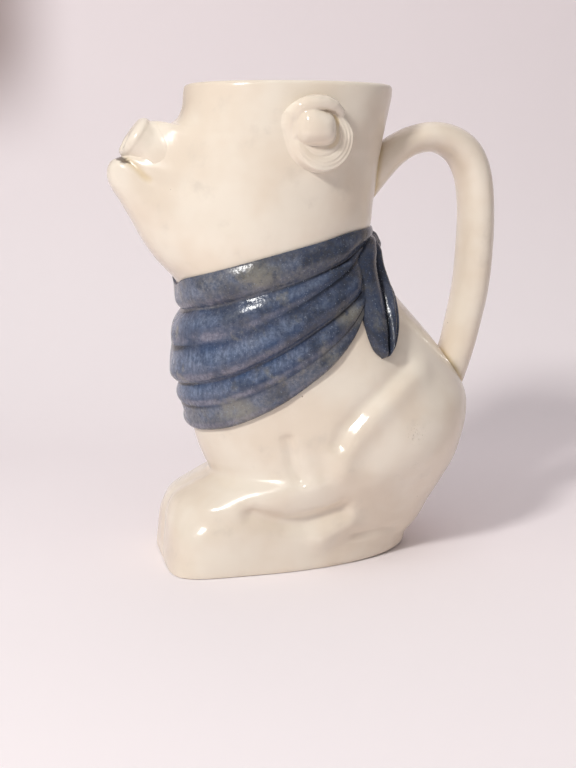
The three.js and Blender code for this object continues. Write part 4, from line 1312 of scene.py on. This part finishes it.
# Slow waves in the cloth: height, length and seed, and how much of them the tucks keep.
CLOTH_WAVE, CLOTH_WAVE_LENGTH, CLOTH_WAVE_SEED, CLOTH_WAVE_REST = 0.35, 16, 21, 0.2
# Places across a fold, and widths: the painted shade of the tucks at both its edges, the worn
# ledge, the crown with its painted highlight.
TUCK_TOP, TUCK_FOOT = (0.03, 0.09), (1, 0.04)
WORN_LEDGE, CROWN_BAND = (0.82, 0.13), (0.36, 0.24)
# How grey each fold is, from the topmost to the lowest.
FOLD_ASH = (0.95, 0.15, 0.1, 0.0, 0.85)
# The ledges are worn in front, less so towards the sides.
WORN_FRONT, WORN_FALL, WORN_REST = 1.5, 3.6, 0.15
# The painted shade in the tucks is full at the front and, from halfway round, towards the knot.
TUCK_REST, TUCK_FRONT, TUCK_FRONT_SPAN, TUCK_NAPE, TUCK_NAPE_SPAN = 0.3, 0.2, 0.12, 0.5, 0.3
BURNT_STRETCH = np.array([1.5, 1, 0.8])
# Where the stain burnt out to olive: centre and spread.
BURNT = [((-25, -42, 150), 9.0), ((-36, -36, 84), 10.0), ((21, -43, 130), 8.5)]


def fold_lift(t, tucks, fold, across):
    """How thick the cloth stands, in shares of the full crown, and how far up the fold it is."""
    nape = np.minimum(t, 1 - t) * 2
    pressed = eased((nape - PRESS_START) / (PRESS_END - PRESS_START))
    thin = 1 - PRESS_DEPTH * pressed * (1 if fold else across)
    rest = FOLD_TUCKS[fold] + (FOLD_TUCKS[fold + 1] - FOLD_TUCKS[fold]) * across
    full = np.minimum(1, (tucks[:, fold + 1] - tucks[:, fold]) / FOLD_FULL)
    rise = full * max(0.0, math.sin(math.pi * across**FOLD_SAG)) ** FOLD_ROUND
    lift = rest + (max(rest, FOLD_CROWNS[fold]) - rest) * rise
    return lift * (1 - NAPE_FLAT * nape**3) * thin, rise


class PIGJUG_OT_kerchief(Operator):
    """Lays the folded neckerchief round the neck and down the chest"""

    bl_idname = "pigjug.kerchief"
    bl_label = "Neckerchief"

    def execute(self, context):
        sizes = context.scene.jug_potting
        skin = Skin(sizes.lip * 1000)
        crown = sizes.fold_crown * 1000
        count = KERCHIEF_SIDES
        t = np.arange(count) / count
        side = np.minimum(t, 1 - t)
        rows = smooth_rows(KERCHIEF_SHARES, side)
        up = skin.height_to_v(t, rows[:, 0] * JUG_HEIGHT)
        low = skin.height_to_v(t, rows[:, 1] * JUG_HEIGHT)
        tucks = np.hstack([np.zeros((count, 1)), rows[:, 2:], np.ones((count, 1))])
        last = len(FOLD_CROWNS) - 1
        face, marks = [], []
        for fold in range(last + 1):
            for k in range(0 if fold == 0 else 1, FOLD_STEPS + 1):
                across = k / FOLD_STEPS
                share = tucks[:, fold] + (tucks[:, fold + 1] - tucks[:, fold]) * across
                v = up + (low - up) * share
                lift, rise = fold_lift(t, tucks, fold, across)
                point = skin.outer(v, t, CLOTH_GAP + crown * lift, CLOTH_FINE)
                wave = CLOTH_WAVE * waves(point, CLOTH_WAVE_LENGTH, CLOTH_WAVE_SEED)
                wave = wave * (rise * (1 - CLOTH_WAVE_REST) + CLOTH_WAVE_REST)
                face.append(point + skin.normal(v, t) * wave[:, None])
                # Painted shade in the tucks, and a painted highlight along each crown.
                tuck = max(bell(across, *TUCK_TOP) * (fold > 0),
                           bell(across, *TUCK_FOOT) * (fold < last))
                marks.append((tuck, bell(across, *WORN_LEDGE), bell(across, *CROWN_BAND),
                              FOLD_ASH[fold]))
        lining = [skin.outer(up + (low - up) * s, t, -KERCHIEF_SINK, CLOTH_FINE)
                  for s in np.linspace(LINING_START, 1 - LINING_START, LINING_STEPS)]
        points, faces = weave(np.array(face[::-1] + lining), wrapped=True)
        band = new_piece("Neckerchief", points, faces, blue())
        tuck, wear, high, grey = np.array(marks[::-1] + [(0, 0, 0, 0)] * len(lining)).T
        front = np.clip(WORN_FRONT - WORN_FALL * side, WORN_REST, 1)
        nape = 2 * side
        # How strong the painted shade in the tucks is, round the band.
        drawn = np.maximum((TUCK_FRONT - nape) / TUCK_FRONT_SPAN,
                           (nape - TUCK_NAPE) / TUCK_NAPE_SPAN)
        drawn = TUCK_REST + (1 - TUCK_REST) * np.clip(drawn, 0, 1)
        burnt = np.zeros(len(points))
        for centre, wide in BURNT:
            gap = np.linalg.norm((points - np.array(centre)) / BURNT_STRETCH, axis=1)
            burnt = np.maximum(burnt, bell(gap, 0, wide))
        # around runs from the front to the nape, and the glaze paints the front lighter and the
        # cloth towards the knot in shade.
        mark(band, tuck=np.outer(tuck, drawn).ravel(), wear=np.outer(wear, front).ravel(),
             crown=np.repeat(high, count), fold=np.repeat(grey, count),
             around=np.tile(nape, len(tuck)), burnt=burnt)
        finished(band, "scarf_band")
        return {"FINISHED"}


# The knot

KNOT_WIDTH = 21.0
KNOT_HEIGHT = 17.0
KNOT_DEPTH = 7.5
KNOT_PLACE = 0.668 * JUG_HEIGHT
KNOT_SIDES, KNOT_RINGS, KNOT_START = 128, 72, 0.03
KNOT_ROUND = 0.8
# The pleats drawn into the knot's ends: how many, how they twist and wander, how quickly they
# deepen towards the ends, and how deep they are.
KNOT_PLEATS, KNOT_TWIST, KNOT_WANDER, KNOT_DEEPEN, KNOT_PLEAT = 7, 2.4, 0.6, 0.7, 0.055
# The waist near each end: place, width and depth.
KNOT_WAIST, KNOT_WAIST_WIDTH, KNOT_WAIST_DEPTH = 0.62, 0.12, 0.1
# Painted shade between the knot's pleats and at its two ends.
KNOT_TUCK_GAIN, KNOT_TUCK_START, KNOT_TUCK = 1.3, 0.2, 0.7
KNOT_END_TUCK = 0.5


class PIGJUG_OT_knot(Operator):
    """Models the knot at the nape as a round wad of cloth with creases drawn into its ends"""

    bl_idname = "pigjug.knot"
    bl_label = "Knot"

    def execute(self, context):
        skin = Skin(context.scene.jug_potting.lip * 1000)
        nape = skin.at(skin.height_to_v(np.array(0.5), np.array(KNOT_PLACE)), 0.5)
        turn = np.linspace(0, 2 * np.pi, KNOT_SIDES, endpoint=False)
        rings, tucks, pleat_light = [], [], []
        for a in np.linspace(KNOT_START, math.pi - KNOT_START, KNOT_RINGS):
            y = math.cos(a)
            wander = KNOT_TWIST * y + KNOT_WANDER * np.sin(3 * turn)
            pleat = np.cos(turn * KNOT_PLEATS + wander) * abs(y) ** KNOT_DEEPEN
            waist = KNOT_WAIST_DEPTH * bell(abs(y), KNOT_WAIST, KNOT_WAIST_WIDTH)
            radius = math.sin(a) ** KNOT_ROUND * (1 + KNOT_PLEAT * pleat - waist)
            rings.append(np.stack([
                nape[0] + KNOT_DEPTH * radius * np.cos(turn),
                np.full(turn.shape, KNOT_WIDTH / 2 * y),
                nape[2] + KNOT_HEIGHT / 2 * radius * np.sin(turn),
            ], -1))
            # Painted shade between the pleats, and a painted highlight on their ridges.
            tucks.append(np.clip(-pleat * KNOT_TUCK_GAIN - KNOT_TUCK_START, 0, 1) * KNOT_TUCK)
            pleat_light.append(np.clip(pleat, 0, 1))
        ends = [np.array([nape[0], end, nape[2]]) for end in (KNOT_WIDTH / 2, -KNOT_WIDTH / 2)]
        points, faces = weave(np.array(rings)[:, ::-1], *ends)
        knot = new_piece("Knot", points, faces, blue())
        mark(knot, tuck=np.append(np.array(tucks)[:, ::-1].ravel(), [KNOT_END_TUCK] * 2),
             crown=np.append(np.array(pleat_light)[:, ::-1].ravel(), [0, 0]))
        trim(knot, skin)
        # The whole knot lies in the full painted shade of the nape.
        mark(knot, wear=0, fold=0, around=1, burnt=0)
        finished(knot, "scarf_knot")
        return {"FINISHED"}


# The loose ends

# Place around and height of the front edge, then of the back edge, from the knot to the tip.
TAIL_SHARES = [
    [0.452, 0.694, 0.49, 0.692],
    [0.416, 0.652, 0.486, 0.648],
    [0.402, 0.608, 0.474, 0.608],
    [0.389, 0.558, 0.459, 0.573],
    [0.379, 0.517, 0.442, 0.542],
    [0.371, 0.4875, 0.423, 0.51],
    [0.367, 0.4646, 0.401, 0.477],
    [0.37, 0.4483, 0.381, 0.4517],
]
# Where each pleat of the loose end stops, and how full it is.
PLEATS = [(0.54, 0.95), (0.79, 1.0), (1.0, 0.55)]
TAIL_CROWN = 6.0
TAIL_VALLEY = 2.2
TAIL_EDGE = 1.2
TAIL_RINGS, PLEAT_STEPS, PLEAT_ROUND = 90, 14, 0.72
TAIL_SINK = 2.2
# The loose ends grow thin at the knot and at the tip, down to this share.
TAPER_START, TAPER_END, TAPER_REST = 0.12, 0.08, 0.25
# Widths of the painted shade at the pleats' edges and of the painted highlight on their crowns,
# and how light that highlight is.
PLEAT_TUCK, PLEAT_CROWN, PLEAT_LIGHT = 0.13, (0.5, 0.25), 0.6
TAIL_GREY = 0.5
# Painted shade of the loose ends: deepest at the knot, easing off over the first half of the way.
TAIL_DUSK, TAIL_DUSK_LOSS, TAIL_DUSK_SPAN = 1.05, 0.3, 0.5


class PIGJUG_OT_tails(Operator):
    """Lays the two pleated loose ends of the neckerchief over the shoulders"""

    bl_idname = "pigjug.tails"
    bl_label = "Loose ends"

    def execute(self, context):
        skin = Skin(context.scene.jug_potting.lip * 1000)
        along = np.linspace(0, 1, TAIL_RINGS)
        last = len(TAIL_SHARES) - 1
        rows = smooth_rows([[i / last] + r for i, r in enumerate(TAIL_SHARES)], along)
        across, lifts, tuck, high = [], [], [], []
        start = 0.0
        for fold, (end, crown) in enumerate(PLEATS):
            first_fold, last_fold = fold == 0, fold == len(PLEATS) - 1
            left = TAIL_EDGE if first_fold else TAIL_VALLEY
            right = TAIL_EDGE if last_fold else TAIL_VALLEY
            for k in range(0 if first_fold else 1, PLEAT_STEPS + 1):
                share = k / PLEAT_STEPS
                rest = left + (right - left) * share
                rise = max(0.0, math.sin(math.pi * share)) ** PLEAT_ROUND
                across.append(start + (end - start) * share)
                lifts.append(rest + (crown * TAIL_CROWN - rest) * rise)
                near = min(1 if first_fold else share, 1 if last_fold else 1 - share)
                # Painted shade along the pleats' edges, and a painted highlight along their
                # crowns.
                tuck.append(bell(near, 0, PLEAT_TUCK))
                high.append(bell(share, *PLEAT_CROWN) * PLEAT_LIGHT)
            start = end

        def sheet(share, lift):
            """A line from the knot to the tip, at a share of the way across."""
            t = rows[:, 0] + (rows[:, 2] - rows[:, 0]) * share
            z = (rows[:, 1] + (rows[:, 3] - rows[:, 1]) * share) * JUG_HEIGHT
            return skin.outer(skin.height_to_v(t, z), t, lift, CLOTH_FINE)

        taper = np.clip((1 - along) / TAPER_END, 0, 1) * np.clip(along / TAPER_START, 0, 1)
        taper = TAPER_REST + (1 - TAPER_REST) * taper ** 0.5
        columns = [sheet(s, CLOTH_GAP + lift * taper) for s, lift in zip(across, lifts)]
        under = [sheet(s, np.full(along.shape, -TAIL_SINK)) for s in across]
        rings = np.stack(columns[::-1] + under, 1)
        points, faces = weave(rings, rings[0].mean(0), rings[-1].mean(0))
        bare = [0.0] * len(under)
        tuck, high = tuck[::-1] + bare, high[::-1] + bare
        # Painted shade, deepest at the knot.
        nape_shade = TAIL_DUSK - TAIL_DUSK_LOSS * np.clip(along / TAIL_DUSK_SPAN, 0, 1)
        sides = {"right": (points, faces), "left": mirrored_points(points, faces)}
        for side, (spots, sheets) in sides.items():
            tail = new_piece("Loose_end_" + side, spots, sheets, blue())
            mark(tail, tuck=np.append(np.tile(tuck, len(along)), [0, 0]),
                 crown=np.append(np.tile(high, len(along)), [0, 0]),
                 around=np.append(np.repeat(nape_shade, len(tuck)), [1, 1]),
                 wear=0, fold=TAIL_GREY, burnt=0)
            finished(tail, "scarf_tail_" + side)
        return {"FINISHED"}


# The stage

# The camera's place is in the potter's millimetres. Its lens and sensor are in millimetres too.
CAMERA_YAW = math.radians(14)
CAMERA_PITCH = math.radians(10.96)
CAMERA_PLACE = (-142.7, -572.5, 203.0)
CAMERA_LENS = 53.906
CAMERA_SENSOR = 36.0
CAMERA_NEAR = 0.02
# The sweep of paper, in metres: along the view, up the wall and across.
TABLE_DEPTH = 2.5
SWEEP_START = 0.2
SWEEP_RADIUS = 0.35
SWEEP_STEPS = 24
WALL_HEIGHT = 2.6
PAPER_WIDTH = 6.0
PAPER_ROUGHNESS = 0.9
SEEN_ROOM = 0.85
JUG_MIDDLE = (0.0, 0.0, 0.12)
# Each lamp: name, place, aim, size, setting that holds its power, tint, and whether the glaze
# mirrors it.
LAMPS = [
    ("Window", (-0.88, -0.74, 0.93), JUG_MIDDLE, (0.2, 0.22), "key_power", (1.0, 0.985, 0.96),
     True),
    ("Room", (-0.5, -1.6, 0.8), JUG_MIDDLE, (1.4, 1.2), "fill_power", (1.0, 0.99, 0.98), False),
    ("Ceiling", (-0.2, -0.3, 1.9), JUG_MIDDLE, (1.8, 1.8), "top_power", (1.0, 0.99, 1.0), False),
    ("Card", (0.42, -0.4, 0.12), (0.05, 0.0, 0.06), (0.3, 0.2), "card_power", (1.0, 0.98, 0.96),
     False),
]


def backdrop_paper():
    """Seamless paper: matt, pale lilac white, with painted shade in grey mauve towards the far
    corner.

    The camera sees through it from behind, so that the jug shows from every side.
    """
    look = bpy.context.scene.jug_stage
    material, add, where, _, _ = new_material("Pale backdrop paper", {}, ())
    place = add("ShaderNodeSeparateXYZ", Vector=where).node.outputs
    # Painted shade: darker towards the backdrop's upper left.
    left = add(SPAN, place["X"], -0.17, -0.07, 1, 0, **SOFT)
    high = add(SPAN, place["Z"], 0.19, 0.33, **SOFT)
    colour = layered(add, look.floor, [
        (place["Z"], 0, 0.25, look.wall),
        (add(MATH, left, high, **TIMES), look.shade),
    ])
    paper = add("ShaderNodeBsdfPrincipled", Base_Color=colour, Roughness=PAPER_ROUGHNESS)
    behind = add(MATH, add("ShaderNodeNewGeometry", out="Backfacing"),
                 add("ShaderNodeLightPath", out="Is Camera Ray"), **TIMES)
    seen = add("ShaderNodeMixShader", behind, paper, add("ShaderNodeBsdfTransparent"))
    add("ShaderNodeOutputMaterial", Surface=seen)
    return material


def lamp(name, place, aim, size, power, colour):
    """A soft square lamp aimed at a point."""
    light = bpy.data.lights.new(name, "AREA")
    light.shape = "RECTANGLE"
    light.size, light.size_y = size
    light.energy = power
    light.color = colour
    holder = bpy.data.objects.new(name, light)
    holder.location = place
    holder.rotation_euler = (Vector(aim) - Vector(place)).to_track_quat("-Z", "Y").to_euler()
    bpy.context.scene.collection.objects.link(holder)
    return holder


class PIGJUG_OT_stage(Operator):
    """Sets up the pale backdrop, the soft light from the left and the camera"""

    bl_idname = "pigjug.stage"
    bl_label = "Stage"

    def execute(self, context):
        look = context.scene.jug_stage
        back = Vector((math.sin(CAMERA_YAW), math.cos(CAMERA_YAW), 0))
        across = Vector((math.cos(CAMERA_YAW), -math.sin(CAMERA_YAW), 0))
        profile = [(-TABLE_DEPTH, 0.0), (SWEEP_START, 0.0)]
        for k in range(1, SWEEP_STEPS + 1):
            a = math.pi / 2 * k / SWEEP_STEPS
            profile.append((SWEEP_START + SWEEP_RADIUS * math.sin(a),
                            SWEEP_RADIUS * (1 - math.cos(a))))
        profile.append((SWEEP_START + SWEEP_RADIUS, WALL_HEIGHT))
        points, faces = [], []
        for side in (-1, 1):
            for depth, height in profile:
                spot = back * depth + across * side * PAPER_WIDTH / 2
                points.append((spot.x, spot.y, height))
        count = len(profile)
        for i in range(count - 1):
            faces.append((i, count + i, count + i + 1, i + 1))
        mesh = bpy.data.meshes.new("Backdrop")
        mesh.from_pydata(points, [], faces)
        mesh.shade_smooth()
        mesh.materials.append(backdrop_paper())
        backdrop = bpy.data.objects.new("Backdrop", mesh)
        context.scene.collection.objects.link(backdrop)
        for name, place, aim, size, power, colour, glossy in LAMPS:
            light = lamp(name, place, aim, size, getattr(look, power), colour)
            light.visible_glossy = glossy
        self.light_room(context)
        self.place_camera(context)
        context.scene.view_settings.view_transform = "Standard"
        return {"FINISHED"}

    def light_room(self, context):
        """A dim pale room, which the camera sees as bright as the backdrop."""
        look = context.scene.jug_stage
        world = context.scene.world or bpy.data.worlds.new("Room")
        context.scene.world = world
        world.use_nodes = True
        world.node_tree.nodes.clear()
        add = partial(join, world.node_tree)
        dim = add("ShaderNodeBackground", Color=look.room, Strength=look.world_level)
        seen = add("ShaderNodeBackground", Color=look.wall, Strength=SEEN_ROOM)
        share = add("ShaderNodeLightPath", out="Is Camera Ray")
        add("ShaderNodeOutputWorld", Surface=add("ShaderNodeMixShader", share, dim, seen))

    def place_camera(self, context):
        """A camera before the pig's left side, a little above it, as in the photograph."""
        lens = bpy.data.cameras.new("Camera")
        lens.lens = CAMERA_LENS
        lens.sensor_width = CAMERA_SENSOR
        lens.sensor_fit = "AUTO"
        lens.clip_start = CAMERA_NEAR
        camera = bpy.data.objects.new("Camera", lens)
        camera.location = to_frame(CAMERA_PLACE)
        aim = Vector((math.sin(CAMERA_YAW) * math.cos(CAMERA_PITCH),
                      math.cos(CAMERA_YAW) * math.cos(CAMERA_PITCH), -math.sin(CAMERA_PITCH)))
        camera.rotation_euler = aim.to_track_quat("-Z", "Y").to_euler()
        context.scene.collection.objects.link(camera)
        context.scene.camera = camera


class PIGJUG_PT_panel(Panel):
    """Shows the settings of the jug and lists its pieces"""

    bl_idname = "PIGJUG_PT_panel"
    bl_label = "Pig Jug"
    bl_space_type = "VIEW_3D"
    bl_region_type = "UI"
    bl_category = "Pig Jug"

    def draw(self, context):
        scene = context.scene
        for settings in (scene.jug_potting, scene.jug_glaze, scene.jug_stage):
            box = self.layout.box()
            for name in settings.__annotations__:
                box.prop(settings, name)
        for step in PIECES:
            self.layout.operator(step.bl_idname)


SETTINGS = (JugPottingSettings, JugGlazeSettings, JugStageSettings)
PIECES = (
    PIGJUG_OT_body,
    PIGJUG_OT_handle,
    PIGJUG_OT_disc,
    PIGJUG_OT_ears,
    PIGJUG_OT_kerchief,
    PIGJUG_OT_knot,
    PIGJUG_OT_tails,
    PIGJUG_OT_stage,
)
CLASSES = SETTINGS + PIECES + (PIGJUG_PT_panel,)


def register():
    for item in CLASSES:
        bpy.utils.register_class(item)
    bpy.types.Scene.jug_potting = PointerProperty(type=JugPottingSettings)
    bpy.types.Scene.jug_glaze = PointerProperty(type=JugGlazeSettings)
    bpy.types.Scene.jug_stage = PointerProperty(type=JugStageSettings)


def unregister():
    del bpy.types.Scene.jug_potting
    del bpy.types.Scene.jug_glaze
    del bpy.types.Scene.jug_stage
    for item in reversed(CLASSES):
        bpy.utils.unregister_class(item)


def main():
    register()
    bpy.ops.pigjug.body()
    bpy.ops.pigjug.handle()
    bpy.ops.pigjug.disc()
    bpy.ops.pigjug.ears()
    bpy.ops.pigjug.kerchief()
    bpy.ops.pigjug.knot()
    bpy.ops.pigjug.tails()
    bpy.ops.pigjug.stage()


if __name__ == "__main__":
    main()
